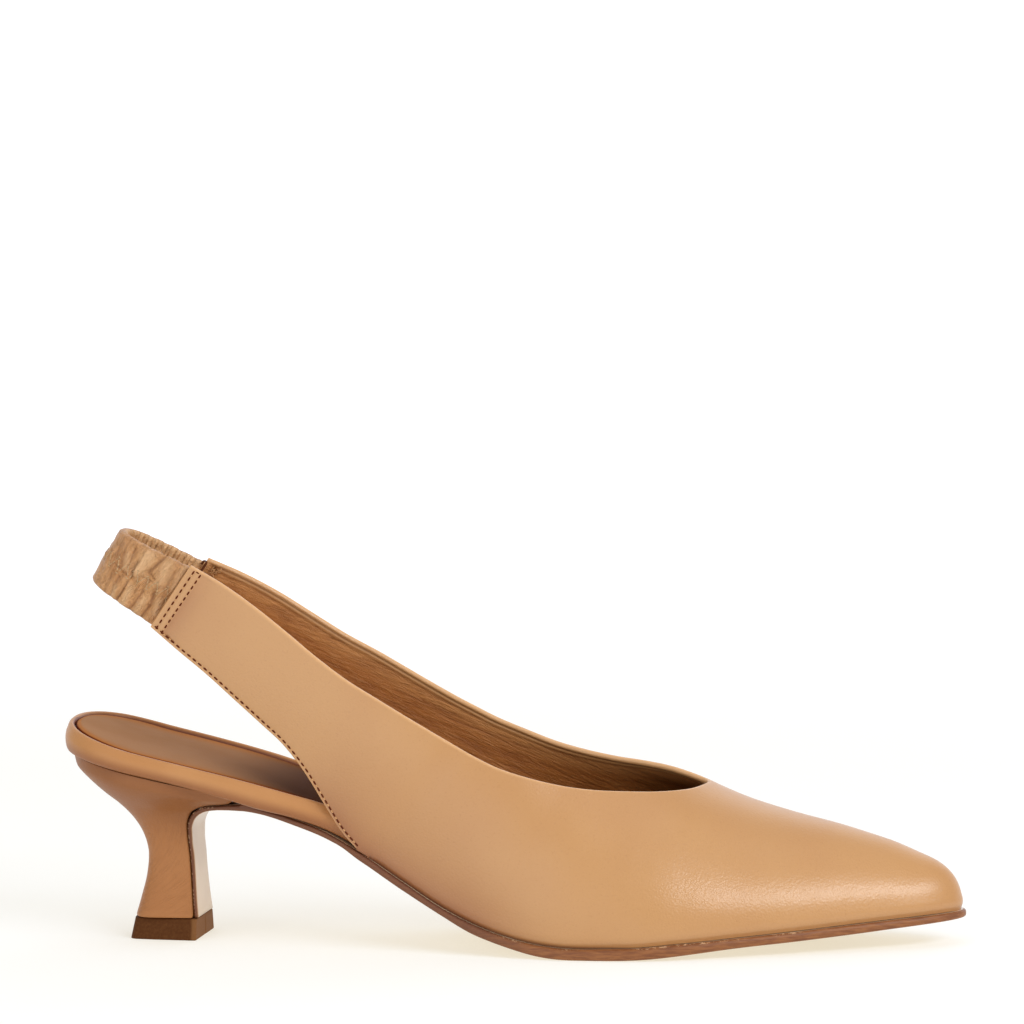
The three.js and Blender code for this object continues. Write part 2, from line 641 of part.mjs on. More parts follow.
// Pulls of a section over the last, cut where the topline passes.
function domePulls(share, inner) {
  const sign = inner ? 1 : -1;
  const low = lastedFoot(share, inner);
  const lean = dome.lean(share);
  const crown = low.x + lean;
  const capGone = 1 - (LENGTH - LEDGE - low.x) / CAP_ROUND;
  const toeGone = 1 - (LENGTH - share * LENGTH) / TOE_ROUND;
  const plump = toeGone > 0 ? rounded(toeGone) : 1;
  const height = (instep(crown / LENGTH) - low.z) * (capGone > 0 ? rounded(capGone, CAP_SQUARE) : 1);
  const reach = dome.rise(share);
  const high = at(crown, dome.across(share), low.z + height);
  const footSwell = (inner ? dome.footIn : dome.footOut)(share) * plump;
  const topSwell = (inner ? dome.topIn : dome.topOut)(share) * plump;
  const pulls = [
    low,
    at(low.x + lean * reach, low.y + sign * footSwell, low.z + height * reach),
    at(crown, high.y + sign * topSwell, high.z),
    high,
  ];
  if (share >= THROAT) {
    return pulls;
  }
  const curve = new THREE.CubicBezierCurve3(...pulls);
  const limit = inner ? topline.in : topline.out;
  let below = 0;
  let above = 1;
  for (let i = 0; i < 30; i += 1) {
    const spot = curve.getPoint((below + above) / 2);
    if (spot.z < limit(spot.x / LENGTH)) {
      below = (below + above) / 2;
    } else {
      above = (below + above) / 2;
    }
  }
  const first = pulls[0].clone().lerp(pulls[1], above);
  const second = first.clone().lerp(pulls[1].clone().lerp(pulls[2], above), above);
  return [low, first, second, curve.getPoint(above)];
}

function section(station, inner) {
  const share = Math.min(station / LENGTH, 1);
  let pulls = domePulls(Math.max(share, WING_FOOT), inner);
  if (share < WING_FOOT) {
    // The quarters flow into the lasted part over their front half.
    const meet = wingPulls(WING_FOOT, inner);
    const near = THREE.MathUtils.smoothstep(share, WING[4].foot, WING_FOOT);
    const free = wingPulls(share, inner);
    pulls = free.map((pull, i) => pull.addScaledVector(pulls[i].clone().sub(meet[i]), near));
  }
  return new THREE.CubicBezierCurve3(...pulls).getPoints(SECTION_STEPS);
}

// Stations of the upper: two a row, close together where the topline runs into the throat.
function upperStations() {
  const places = [];
  const feet = [...WING.slice(0, -1), ...DOME].map((row) => row.foot * LENGTH);
  for (let k = 0; feet[k] < LENGTH - TOE_ROUND - 8; k += 1) {
    const [from, to] = [feet[k], feet[k + 1]];
    const throat = Math.abs(to - THROAT * LENGTH) < 0.01;
    const steps = throat ? 6 : 2;
    for (let i = 0; i < steps; i += 1) {
      const share = throat ? 1 - Math.pow(1 - i / steps, 2) : i / steps;
      places.push(from + (to - from) * share);
    }
  }
  places.push(LENGTH - TOE_ROUND);
  for (let k = 1; k <= END_STEPS; k += 1) {
    places.push(LENGTH - TOE_ROUND + TOE_ROUND * Math.sin((k / END_STEPS) * (Math.PI / 2)));
  }
  return places;
}

function upper() {
  const places = upperStations();
  const skins = [false, true].map((inner) => places.map((place) => section(place, inner)));
  const open = places.findIndex((place) => place >= THROAT * LENGTH - 0.001);

  // Outward direction at every corner of the outer skin, shared along the ridge.
  const normals = skins.map((rows) => rows.map((row) => row.map(() => new THREE.Vector3())));
  const add = (side, i, j, normal) => {
    if (i === places.length - 1) {
      normals.forEach((rows) => rows[i].forEach((sum) => sum.add(normal)));
      return;
    }
    normals[side][i][j].add(normal);
    if (j === SECTION_STEPS && i >= open) {
      normals[1 - side][i][j].add(normal);
    }
  };
  [0, 1].forEach((side) => {
    const sign = side === 0 ? -1 : 1;
    for (let i = 0; i + 1 < places.length; i += 1) {
      for (let j = 0; j < SECTION_STEPS; j += 1) {
        const [a, b, c, d] = [
          skins[side][i][j],
          skins[side][i + 1][j],
          skins[side][i + 1][j + 1],
          skins[side][i][j + 1],
        ];
        const normal = c.clone().sub(a).cross(d.clone().sub(b)).multiplyScalar(-sign);
        [[i, j], [i + 1, j], [i + 1, j + 1], [i, j + 1]].forEach(([p, q]) => add(side, p, q, normal));
      }
    }
  });

  const linings = skins.map((rows, side) =>
    rows.map((row, i) =>
      row.map((point, j) => {
        const inward = normals[side][i][j].clone().normalize().multiplyScalar(-WALL);
        const lasted = (j === 0 && places[i] >= WING_FOOT * LENGTH) || i === places.length - 1;
        if (lasted) {
          inward.z = 0;
          inward.setLength(WALL);
        }
        return point.clone().add(inward);
      })
    )
  );

  const body = new Body("upper", "#d0a070", 0.45);
  const last = SECTION_STEPS;
  const face = (side, a, b, c, d) => (side === 0 ? body.quad(a, b, c, d) : body.quad(d, c, b, a));
  [0, 1].forEach((side) => {
    const [skin, lining] = [skins[side], linings[side]];
    for (let i = 0; i + 1 < places.length; i += 1) {
      for (let j = 0; j < last; j += 1) {
        face(side, skin[i][j], skin[i + 1][j], skin[i + 1][j + 1], skin[i][j + 1]);
        face(side, lining[i][j + 1], lining[i + 1][j + 1], lining[i + 1][j], lining[i][j]);
      }
      face(side, lining[i][0], lining[i + 1][0], skin[i + 1][0], skin[i][0]);
      if (i < open) {
        face(side, skin[i][last], skin[i + 1][last], lining[i + 1][last], lining[i][last]);
      }
    }
    for (let j = 0; j < last; j += 1) {
      face(side, lining[0][j], skin[0][j], skin[0][j + 1], lining[0][j + 1]);
    }
  });
  return body.mesh();
}

const shoe = new THREE.Group();
shoe.name = "mid_heel_shoe";
shoe.add(outsole(), heel(), topPiece(), footbed(), sock(), upper(), strap());

// Stand the shoe on the floor with the middle of its bounding box over the origin.
const box = new THREE.Box3().setFromObject(shoe);
const middle = box.getCenter(new THREE.Vector3());
shoe.children.forEach((mesh) => mesh.geometry.translate(-middle.x, -middle.y, -box.min.z));

export default shoe;
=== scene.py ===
import math

import bmesh
import bpy
import numpy as np
from mathutils import Matrix, Vector


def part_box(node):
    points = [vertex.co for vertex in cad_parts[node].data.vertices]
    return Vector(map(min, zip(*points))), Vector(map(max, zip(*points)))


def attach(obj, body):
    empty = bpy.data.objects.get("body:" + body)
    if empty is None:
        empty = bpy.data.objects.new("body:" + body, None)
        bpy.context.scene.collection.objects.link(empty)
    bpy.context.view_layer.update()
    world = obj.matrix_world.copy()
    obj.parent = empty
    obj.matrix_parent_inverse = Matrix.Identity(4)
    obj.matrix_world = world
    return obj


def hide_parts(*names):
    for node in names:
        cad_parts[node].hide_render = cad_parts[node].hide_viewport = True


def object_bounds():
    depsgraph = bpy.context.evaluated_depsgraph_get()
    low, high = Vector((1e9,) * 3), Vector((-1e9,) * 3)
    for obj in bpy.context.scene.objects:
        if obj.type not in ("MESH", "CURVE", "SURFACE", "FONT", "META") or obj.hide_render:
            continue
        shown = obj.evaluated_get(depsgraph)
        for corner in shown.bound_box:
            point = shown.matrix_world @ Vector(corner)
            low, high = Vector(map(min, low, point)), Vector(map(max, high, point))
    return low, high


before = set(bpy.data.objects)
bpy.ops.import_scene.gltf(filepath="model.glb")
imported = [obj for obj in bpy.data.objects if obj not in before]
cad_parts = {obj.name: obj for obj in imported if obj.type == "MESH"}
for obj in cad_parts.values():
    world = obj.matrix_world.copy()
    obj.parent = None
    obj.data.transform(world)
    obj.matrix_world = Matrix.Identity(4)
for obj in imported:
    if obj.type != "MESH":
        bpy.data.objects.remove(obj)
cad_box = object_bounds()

# A slingback pump for the right foot. Tables and lengths are millimetres in the shoe's own frame:
# along from the back of the seat to the toe, across to the inner side of the foot, up from the floor.

MM = 0.001
LENGTH = 260.0
SEAT_ROUND = 24.0  # length over which the plan rounds off at the seat
TOE_ROUND = 16.0  # and at the tip
CAP_ROUND = 28.0  # length over which the toe drops to the tip
SQUARE = 2.3  # squareness of the plan's round ends
CAP_SQUARE = 2.5  # and of the drop
WALL = 1.6  # upper with its lining
GAP = 0.3  # cement between two pieces
LEDGE = 1.0  # sole's edge past the upper
SOCK = 1.0
SOCK_SUNK = 0.35  # below the level of the bed
SOCK_LIFT = 0.55  # share of the seat's lift that the sock takes
RIM_ROLL = 2.8  # width of the footbed's rolled rim
RIM_CROWN = 1.15
BED_DEEP = 7.0
BED_PLAY = 0.2  # between footbed and upper
SEAT_OUTER, SEAT_INNER = -1.4, 1.3  # lift of the seat's two sides
WAIST_THICKER = 0.85  # sole's edge at the waist
BALL_EASE = 7.0  # reach over which the sole's underside is averaged at the ball
END_PACE = 1.32  # run of the leather for each millimetre along, at a quarter's end
HEM_ROW = 1.2  # stitch row above the quarter's lower edge
END_ROWS = (2.0, 4.1)  # stitch rows before its end
CORD_LINES = (1.5, 2.8)  # lines on the lining below the topline
STRAP_WIDE = 19.0
STRAP_THICK = 3.0
STRAP_LOOP = 24.4  # quarter's end to the back of the strap
STRAP_SEATED = 5.0  # strap held inside each quarter
STRAP_SPREAD = 0.19  # how fast the legs part inside the quarters
STRAP_BEND = 11.0  # depth of the turn round the ankle
STRAP_EDGE = 0.05  # share of the quarter's end left free above and below
STRAP_TOP_TILT, STRAP_FOOT_TILT = 25.5, 33.5  # degrees by which its edges climb to the back
STRAP_TOP_PACE, STRAP_FOOT_PACE = 0.96, 0.91  # their run for each millimetre of the band
GATHER_PITCH = 1.6  # of the small gathers on the strap's inner face
PIECE_RISE = 6.1
PIECE_LIP = 1.2
PIECE_CORNER = 3.0
PIECE_TAPER = 1.7
PIECE_FLARE = 0.7
THREAD_SIZE = (0.95, 0.44, 0.42)  # length, width and rise of a stitch
HOLE_SIZE = (1.5, 0.62, 0.34)
ZIGZAG_SIZE = (1.2, 0.30, 0.34)
TACK_SIZE = (1.5, 0.3, 0.5)
ROW_PITCH, END_PITCH, BRIDGE_PITCH, ZIGZAG_PITCH = 2.1, 1.95, 9.0, 1.75
TACKS = 16  # threads in each bar tack

# The camera, as fitted to the shoe: degrees, the point it looks at, metres, and its lens in pixels.
CAMERA_TURN, CAMERA_LIFT, CAMERA_ROLL = 10.422, 4.917, -0.875
CAMERA_AIM = (131.659, 0.0, 123.131)
CAMERA_AWAY = 1.609038
LENS_PIXELS, PICTURE_PIXELS, SENSOR = 5638.378, 1024, 36.0

PLAN = [  # along, centre, half
    (0, 0, 24), (24, 0, 24.5), (45, -0.5, 24), (65, -1.6, 22.2), (85, -2.9, 21), (100, -3.4, 22.4),
    (115, -3.1, 26.2), (130, -2.1, 31), (145, -1.0, 35), (158, -0.1, 36.7), (171, 0.5, 37),
    (186, 1.2, 35), (200, 2.0, 31.1), (215, 2.8, 26.1), (230, 3.6, 20.2), (245, 4.4, 14.2), (260, 5, 9.2),
]
RISE = [  # along, under, sole, seat, bed, tuck, inside, rim
    (0, 53.2, 54.4, 54.7, 62.3, 0, 0, 1),
    (24, 47.8, 49.0, 49.3, 56.0, 0, 0, 1),
    (40, 38.4, 39.8, 45.7, 52.2, 12, 0, 1),
    (52, 38.7, 40.5, 42.4, 49.3, 7.2, 0, 1),
    (60, 38.1, 39.6, 39.9, 47.2, 4.9, 0, 1),
    (71, 35.0, 36.8, 37.1, 43.9, 3.1, 0.26, 1),
    (80, 31.7, 33.5, 33.8, 40.7, 2, 0.55, 1),
    (90, 26.6, 28.2, 28.5, 34.9, 0.6, 0.84, 0.7),
    (103, 18.6, 20.2, 20.5, 26.2, 0, 1, 0.3),
    (115, 11.8, 13.2, 13.5, 18.6, 0, 1, 0.3),
    (126, 6.0, 8.4, 8.7, 13.2, 0, 1, 0.3),
    (137, 2.2, 5.2, 5.5, 9.5, 0, 1, 0.3),
    (147, 0, 3.6, 3.9, 7.6, 0, 1, 0.3),
    (168, 0, 3.5, 3.8, 7.3, 0, 1, 0.3),
    (182, 1.1, 4.5, 4.8, 8.0, 0, 1, 0.3),
    (197, 2.8, 5.6, 5.9, 9.0, 0, 1, 0.3),
    (214, 4.0, 6.8, 7.1, 10.2, 0, 1, 0.3),
    (232, 5.4, 8.1, 8.4, 11.5, 0, 1, 0.3),
    (247, 6.7, 9.1, 9.4, 12.5, 0, 1, 0.3),
    (260, 7.6, 9.7, 10.0, 13.1, 0, 1, 0.3),
]
WING = [  # foot, rise, out, in, top, top_out, top_in, swell_foot, swell_top
    (27.5, 91.0, 11.9, 11.9, 39.8, 11.5, 11.5, 0.5, 0.5),
    (35.5, 84.6, 13.4, 13.6, 49.5, 13.5, 13.9, 0.6, 0.6),
    (45, 77.4, 15.5, 15.8, 59.5, 16.3, 16.6, 0.8, 0.7),
    (53, 70.8, 17.4, 17.4, 69, 18.6, 18.8, 1.0, 0.8),
    (61, 64.2, 19.3, 18.8, 78.5, 20.9, 21.0, 1.2, 0.9),
    (68.5, 57.7, 21, 19.6, 88, 23.0, 22.6, 1.5, 1.1),
    (74.5, 50.4, 22.3, 19.8, 96, 24.2, 23.5, 1.9, 1.4),
    (80, 42.0, 23.4, 19.5, 103, 25, 24, 2.4, 1.8),
    (85, 34.2, 23.8, 18.7, 109, 25.5, 24.4, 2.9, 2.2),
    (89.5, 28.85, 23.6, 17.5, 115, 25.9, 24.6, 3.3, 2.6),
]
TOPLINE = [  # along, out, in
    (39.8, 108.9, 109.0), (49.5, 103.7, 104.4), (59.5, 97.4, 98.6), (69, 90.5, 92.2), (78.5, 83.3, 85.8),
    (88, 76.9, 80.4), (96, 72.4, 75.6), (103, 68.4, 71.5), (109, 65.0, 68.1), (115, 61.6, 65.0),
    (122, 57.6, 61.4), (130.5, 53.4, 58.0), (139.5, 50.4, 54.8), (149, 48.0, 52.5), (158, 46.6, 51.0),
    (167, 45.8, 50.0), (175, 45.3, 48.8), (181.5, 45.2, 47.1), (184.6, 45.4, 46.2), (186.8, 45.75, 45.75),
]
INSTEP = [  # along, rise
    (118, 81.6), (126, 76.8), (135, 71.6), (148, 64.6), (160, 58.8), (172, 52.8), (182, 48.1),
    (186.8, 45.75), (196, 41.7), (210, 37.2), (224, 33.6), (238, 29.6), (249, 27.5), (259, 27.6),
]
DOME = [  # foot, lean, across, foot_out, top_out, foot_in, top_in, reach
    (89.5, 37.2, 0, 3.2, 36.7, 5.0, 39.0, 0.3),
    (98, 34.7, 0.6, 3.6, 36.6, 6.0, 38.4, 0.3),
    (108, 32, 1.2, 4.0, 35.7, 6.5, 35.6, 0.3),
    (120, 26.8, 2.0, 4.5, 34.0, 6.5, 30.6, 0.3),
    (133, 21.2, 2.8, 4.6, 30.8, 5.6, 25.4, 0.3),
    (146, 15.3, 3.4, 4.6, 28.1, 5.0, 21.8, 0.3),
    (158, 10.8, 4.0, 4.5, 26.0, 4.5, 21.0, 0.3),
    (169, 6.8, 4.5, 4.4, 24.8, 4.3, 20.4, 0.3),
    (178, 3.7, 4.8, 4.2, 23.6, 4.1, 19.4, 0.3),
    (186.8, 0, 5.0, 4.1, 22.0, 4.0, 18.0, 0.3),
    (196, 0, 5.2, 3.9, 20.5, 3.8, 16.8, 0.3),
    (210, 0, 5.4, 3.6, 17.6, 3.6, 14.8, 0.31),
    (224, 0, 5.5, 3.2, 13.8, 3.2, 12.0, 0.32),
    (238, 0, 5.4, 2.8, 10.0, 2.8, 9.0, 0.33),
    (259, 0, 5.0, 1.8, 5.5, 1.8, 5.0, 0.33),
]
HEEL = [  # back_rise, back, front, front_rise, half, front_half, square
    (6.4, 19.9, 38.0, 6.4, 10.6, 10.3, 3.4),
    (12.0, 21.5, 37.6, 12.0, 9.6, 9.2, 3.2),
    (18.3, 23.1, 37.2, 18.3, 8.8, 8.4, 3.0),
    (24.1, 23.7, 36.9, 24.1, 8.6, 8.2, 2.9),
    (28.5, 23.0, 36.5, 28.5, 9.1, 8.4, 2.8),
    (32.0, 21.5, 36.4, 32.0, 10.2, 8.8, 2.6),
    (36.3, 18.6, 36.9, 35.0, 12.5, 9.5, 2.5),
    (39.5, 15.5, 38.1, 37.2, 15.0, 10.4, 2.4),
    (43.2, 11.0, 41.0, 38.8, 18.5, 11.8, 2.3),
    (47.4, 6.3, 45.0, 39.8, 21.5, 13.6, 2.2),
    (50.7, 3.2, 50.2, 40.5, 23.1, 15.8, 2.2),
    (54.2, 1.9, 55.0, 41.6, 23.3, 17.4, 2.2),
]
BREAST = [  # ground, ground_rise, heel, heel_rise, half
    (39.6, 6.5, 38.3, 6.5, 9.3),
    (39.1, 12.0, 37.9, 12.0, 8.6),
    (38.7, 18.3, 37.5, 18.3, 7.9),
    (38.4, 24.1, 37.2, 24.1, 7.8),
    (38.0, 28.5, 36.8, 28.5, 8.1),
    (38.0, 31.6, 36.7, 31.9, 8.6),
    (38.6, 34.1, 37.3, 34.9, 9.3),
    (40.1, 36.1, 38.9, 37.1, 10.2),
    (42.6, 37.5, 41.7, 38.7, 11.5),
    (46.5, 38.3, 46.0, 39.5, 13.6),
    (50.5, 38.6, 50.3, 40.1, 15.4),
]


# ---- Curves and forms of the shoe

def through(xs, ys):
    """Smooth curve through the given values, as a function that takes arrays."""
    xs, ys = np.array(xs, float), np.array(ys, float)
    step = np.diff(xs)
    rate = np.diff(ys) / step
    mid = (rate[:-1] * step[1:] + rate[1:] * step[:-1]) / (step[:-1] + step[1:])
    mid = np.where(rate[:-1] * rate[1:] <= 0, 0, mid)
    slopes = np.concatenate([rate[:1], mid, rate[-1:]])

    def curve(x):
        x = np.asarray(x, float)
        i = np.clip(np.searchsorted(xs, x, side="left") - 1, 0, len(xs) - 2)
        t = np.clip((x - xs[i]) / step[i], 0, 1)
        h = 1 - t
        ends = h * h * (1 + 2 * t) * ys[i] + t * t * (3 - 2 * t) * ys[i + 1]
        return ends + step[i] * (h * h * t * slopes[i] - t * t * h * slopes[i + 1])

    return curve


def curves(names, rows):
    """One curve for each column of a table, keyed by its first column."""
    columns = list(zip(*rows))
    return {name: through(columns[0], column) for name, column in zip(names, columns[1:])}


plan = curves(["centre", "half"], PLAN)
rise = curves(["under", "sole", "seat", "bed", "tuck", "inside", "rim"], RISE)
wing = curves(["rise", "out", "in", "top", "top_out", "top_in", "swell_foot", "swell_top"], WING)
topline = curves(["out", "in"], TOPLINE)
instep = curves(["rise"], INSTEP)["rise"]
dome = curves(["lean", "across", "foot_out", "top_out", "foot_in", "top_in", "reach"], DOME)
heel = curves(["back", "front", "front_rise", "half", "front_half", "square"], HEEL)
WING_START, WING_FOOT, THROAT = WING[0][0], WING[-1][0], TOPLINE[-1][0]


def smooth(low, high, x):
    """0 below low, 1 above high, eased between."""
    t = np.clip((np.asarray(x, float) - low) / (high - low), 0, 1)
    return t * t * (3 - 2 * t)


def bump(x, middle, width):
    """A soft ridge of height 1."""
    return np.exp(-(((np.asarray(x, float) - middle) / width) ** 2))


def mix(a, b, share):
    return a + (b - a) * share


def unit(v):
    return v / np.maximum(np.linalg.norm(v, axis=-1, keepdims=True), 1e-9)


def stack(along, across, up):
    return np.stack(np.broadcast_arrays(along, across, up), axis=-1).astype(float)


def rounded(gone, square=SQUARE):
    """Share of the width that is left where this share of a rounding is gone."""
    return np.power(np.maximum(0, 1 - np.power(np.clip(gone, 0, 1), square)), 1 / square)


def edge(station, inset):
    """Edge of the plan drawn in by an inset: along, outer side, inner side."""
    station = np.asarray(station, float)
    seat_gone = 1 - station / SEAT_ROUND
    toe_gone = 1 - (LENGTH - station) / TOE_ROUND
    along = np.where(seat_gone > 0, SEAT_ROUND - (SEAT_ROUND - inset) * seat_gone, station)
    along = np.where(toe_gone > 0, LENGTH - TOE_ROUND + (TOE_ROUND - inset) * toe_gone, along)
    half = (plan["half"](station) - inset) * rounded(seat_gone) * rounded(toe_gone)
    centre = plan["centre"](station)
    return along, centre - half, centre + half


def bed_inset(station):
    """How far the footbed is drawn in from the sole's edge."""
    return rise["inside"](station) * (LEDGE + WALL + GAP + BED_PLAY)


def long_stations(step, start=0.0, ends=22):
    """Stations to the tip, closing up in the rounded ends."""
    turn = np.linspace(0, math.pi / 2, ends, endpoint=False)
    seat = SEAT_ROUND * (1 - np.cos(turn)) if start == 0 else []
    first = SEAT_ROUND if start == 0 else start
    stop = LENGTH - TOE_ROUND
    body = np.linspace(first, stop, int((stop - first) / step) + 1)
    toe = stop + TOE_ROUND * np.sin(np.append(turn[1:], math.pi / 2))
    return np.concatenate([seat, body, toe])


# ---- The upper

def lasted_foot(station, side):
    """Lower edge of the upper's sections, on the sole."""
    along, out, inner = edge(station, LEDGE)
    rim = inner if side > 0 else out
    free = side * wing["in" if side > 0 else "out"](WING_FOOT)
    join = np.clip((station - WING_FOOT) / 10, 0, 1)
    return stack(along, mix(free, rim, join), rise["sole"](station) + GAP)


def wing_pulls(station, side):
    """Sections of the wings, behind the place where the upper meets the sole."""
    name = "in" if side > 0 else "out"
    top = wing["top"](station)
    low = stack(station, side * wing[name](station), wing["rise"](station))
    high = stack(top, side * wing["top_" + name](station), topline[name](top))
    low_pull, high_pull = mix(low, high, 1 / 3), mix(low, high, 2 / 3)
    low_pull[..., 1] += side * wing["swell_foot"](station)
    high_pull[..., 1] += side * wing["swell_top"](station)
    return np.stack([low, low_pull, high_pull, high], axis=-2)


def bezier(pulls, t):
    """Points on curves given by four pulls each; t broadcasts against the curves."""
    t = np.asarray(t, float)[..., None]
    h = 1 - t
    a, b, c, d = (pulls[..., k, :] for k in range(4))
    return h ** 3 * a + 3 * h * h * t * b + 3 * h * t * t * c + t ** 3 * d


def dome_pulls(station, side):
    """Sections over the last, cut where the topline passes."""
    station = np.asarray(station, float)
    name = "in" if side > 0 else "out"
    low = lasted_foot(station, side)
    lean = dome["lean"](station)
    crown = low[..., 0] + lean
    cap_gone = 1 - (LENGTH - LEDGE - low[..., 0]) / CAP_ROUND
    plump = rounded(1 - (LENGTH - station) / TOE_ROUND)
    height = (instep(crown) - low[..., 2]) * rounded(cap_gone, CAP_SQUARE)
    reach = dome["reach"](station)
    high = stack(crown, dome["across"](station), low[..., 2] + height)
    foot_swell = dome["foot_" + name](station) * plump
    top_swell = dome["top_" + name](station) * plump
    low_pull = stack(low[..., 0] + lean * reach, low[..., 1] + side * foot_swell,
                     low[..., 2] + height * reach)
    high_pull = stack(crown, high[..., 1] + side * top_swell, high[..., 2])
    pulls = np.stack([low, low_pull, high_pull, high], axis=-2)
    below, above = np.zeros_like(station), np.ones_like(station)
    for _ in range(30):
        half = (below + above) / 2
        spot = bezier(pulls, half)
        under = spot[..., 2] < topline[name](spot[..., 0])
        below, above = np.where(under, half, below), np.where(under, above, half)
    cut = np.where(station >= THROAT, 1.0, above)[..., None]
    first = mix(pulls[..., 0, :], pulls[..., 1, :], cut)
    middle = mix(pulls[..., 1, :], pulls[..., 2, :], cut)
    second = mix(first, middle, cut)
    return np.stack([low, first, second, bezier(pulls, cut[..., 0])], axis=-2)


def upper_pulls(station, side):
    """Sections of the whole upper, with the wings eased into the lasted part."""
    station = np.asarray(station, float)
    pulls = dome_pulls(np.maximum(station, WING_FOOT), side)
    meet = wing_pulls(np.full_like(station, WING_FOOT), side)
    near = smooth(WING[4][0], WING_FOOT, station)[..., None, None]
    free = wing_pulls(np.minimum(station, WING_FOOT), side) + (pulls - meet) * near
    return np.where((station < WING_FOOT)[..., None, None], free, pulls)


def run_of(lines):
    """Length along each line up to each of its points."""
    steps = np.linalg.norm(np.diff(lines, axis=-2), axis=-1)
    return np.concatenate([np.zeros((*steps.shape[:-1], 1)), np.cumsum(steps, axis=-1)], axis=-1)


def upper_at(station, side, from_foot=None, share=None):
    """Points of the upper's outer face at each station: at a distance along the section from its
    foot, or at a share of its length."""
    station = np.atleast_1d(np.asarray(station, float))
    fine = bezier(upper_pulls(station, side)[:, None], np.linspace(0, 1, 121)[None, :])
    run = run_of(fine)
    if from_foot is not None:
        want = np.broadcast_to(np.asarray(from_foot, float), (len(station),))
    else:
        want = run[:, -1] * share
    return np.stack([[np.interp(w, r, f[:, k]) for k in range(3)] for w, r, f in zip(want, run, fine)])


EDGE_ROWS = np.array([0, 0.06, 0.22, 0.46, 0.8, 1.15, 1.5, 1.9, 2.3, 2.8, 3.4])
MIDDLE_ROWS = 34
ACROSS = 2 * len(EDGE_ROWS) + MIDDLE_ROWS
SIDES = (-1, 1)  # outer and inner side of the foot


def upper_stations():
    """Stations from the quarter's end to the tip, closing up at both and at the throat."""
    near_throat = 176
    first = WING_START + EDGE_ROWS / END_PACE
    body = np.arange(first[-1] + 1.0, near_throat, 1.05)
    closing = 1 - (1 - np.linspace(0, 1, 22, endpoint=False)) ** 2
    throat = near_throat + (THROAT - near_throat) * closing
    past = THROAT + np.array([0, 0.12, 0.3, 0.55, 0.9, 1.35, 1.9, 2.6])
    vamp = np.arange(past[-1] + 1.0, LENGTH - TOE_ROUND - 0.6, 1.15)
    toe = LENGTH - TOE_ROUND * (1 - np.sin(np.linspace(0, math.pi / 2, 30)))
    return np.concatenate([first, body, throat, past, vamp, toe])


def upper_grid(side, stations):
    """Points and their distances from the foot and the top of each section."""
    fine = bezier(upper_pulls(stations, side)[:, None], np.linspace(0, 1, 161)[None, :])
    points, feet, tops = [], [], []
    for line, length in zip(fine, run_of(fine)):
        total = length[-1]
        edges = EDGE_ROWS * min(1.0, total / 12)
        middle = np.linspace(edges[-1], total - edges[-1], MIDDLE_ROWS + 2)[1:-1]
        want = np.concatenate([edges, middle, (total - edges)[::-1]])
        points.append(np.stack([np.interp(want, length, line[:, k]) for k in range(3)], axis=-1))
        feet.append(want)
        tops.append(total - want)
    return np.array(points), np.array(feet), np.array(tops)


def face_out(points, side):
    """Outward directions of a grid of points on one side of the foot."""
    down = np.gradient(points, axis=0)
    over = np.gradient(points, axis=1)
    return unit(np.cross(down, over) * -side)


# ---- Meshes

ORIGIN = np.array([cad_box[0].x, (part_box("top_piece")[0].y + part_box("top_piece")[1].y) / 2, 0.0])


def in_frame(points):
    return np.asarray(points, float) * MM + ORIGIN


def strip_faces(rows, columns, start=0, close=False):
    """Four-cornered faces of a grid whose points are numbered row by row."""
    i = np.arange(rows - 1)[:, None] * columns
    j = np.arange(columns if close else columns - 1)[None, :]
    k = (j + 1) % columns
    faces = np.stack([i + j, i + columns + j, i + columns + k, i + k], axis=-1)
    return faces.reshape(-1, 4) + start


def tube_faces(rows, around):
    """Faces of a tube of rings, with a cap on each end."""
    last = (rows - 1) * around
    return [*strip_faces(rows, around, close=True).tolist(),
            list(range(around)), list(range(last, last + around))[::-1]]


def build(name, points, faces, materials, slots=None, marks=None, weld=2e-6):
    """A smooth mesh in the frame from millimetre points, with marks kept as point attributes."""
    mesh = bpy.data.meshes.new(name)
    mesh.from_pydata(in_frame(points).tolist(), [], [tuple(face) for face in faces])
    for mark, values in (marks or {}).items():
        layer = mesh.attributes.new(mark, "FLOAT", "POINT")
        layer.data.foreach_set("value", np.asarray(values, np.float32).ravel())
    for material in materials:
        mesh.materials.append(material)
    if slots is not None:
        mesh.polygons.foreach_set("material_index", np.asarray(slots, np.int32))
    work = bmesh.new()
    work.from_mesh(mesh)
    bmesh.ops.remove_doubles(work, verts=work.verts, dist=weld)
    bmesh.ops.dissolve_degenerate(work, edges=work.edges, dist=1e-7)
    bmesh.ops.recalc_face_normals(work, faces=work.faces)
    work.to_mesh(mesh)
    work.free()
    mesh.polygons.foreach_set("use_smooth", [True] * len(mesh.polygons))
    piece = bpy.data.objects.new(name, mesh)
    bpy.context.scene.collection.objects.link(piece)
    return piece


def settle(piece, slot, *nodes):
    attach(piece, "root")
    if nodes:
        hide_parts(*nodes)


# ---- Finishes

def tone(*display):
    """A colour given by its eight-bit display values, as linear light."""
    shares = [value / 255 for value in display]
    return (*(c / 12.92 if c <= 0.04045 else ((c + 0.055) / 1.055) ** 2.4 for c in shares), 1.0)


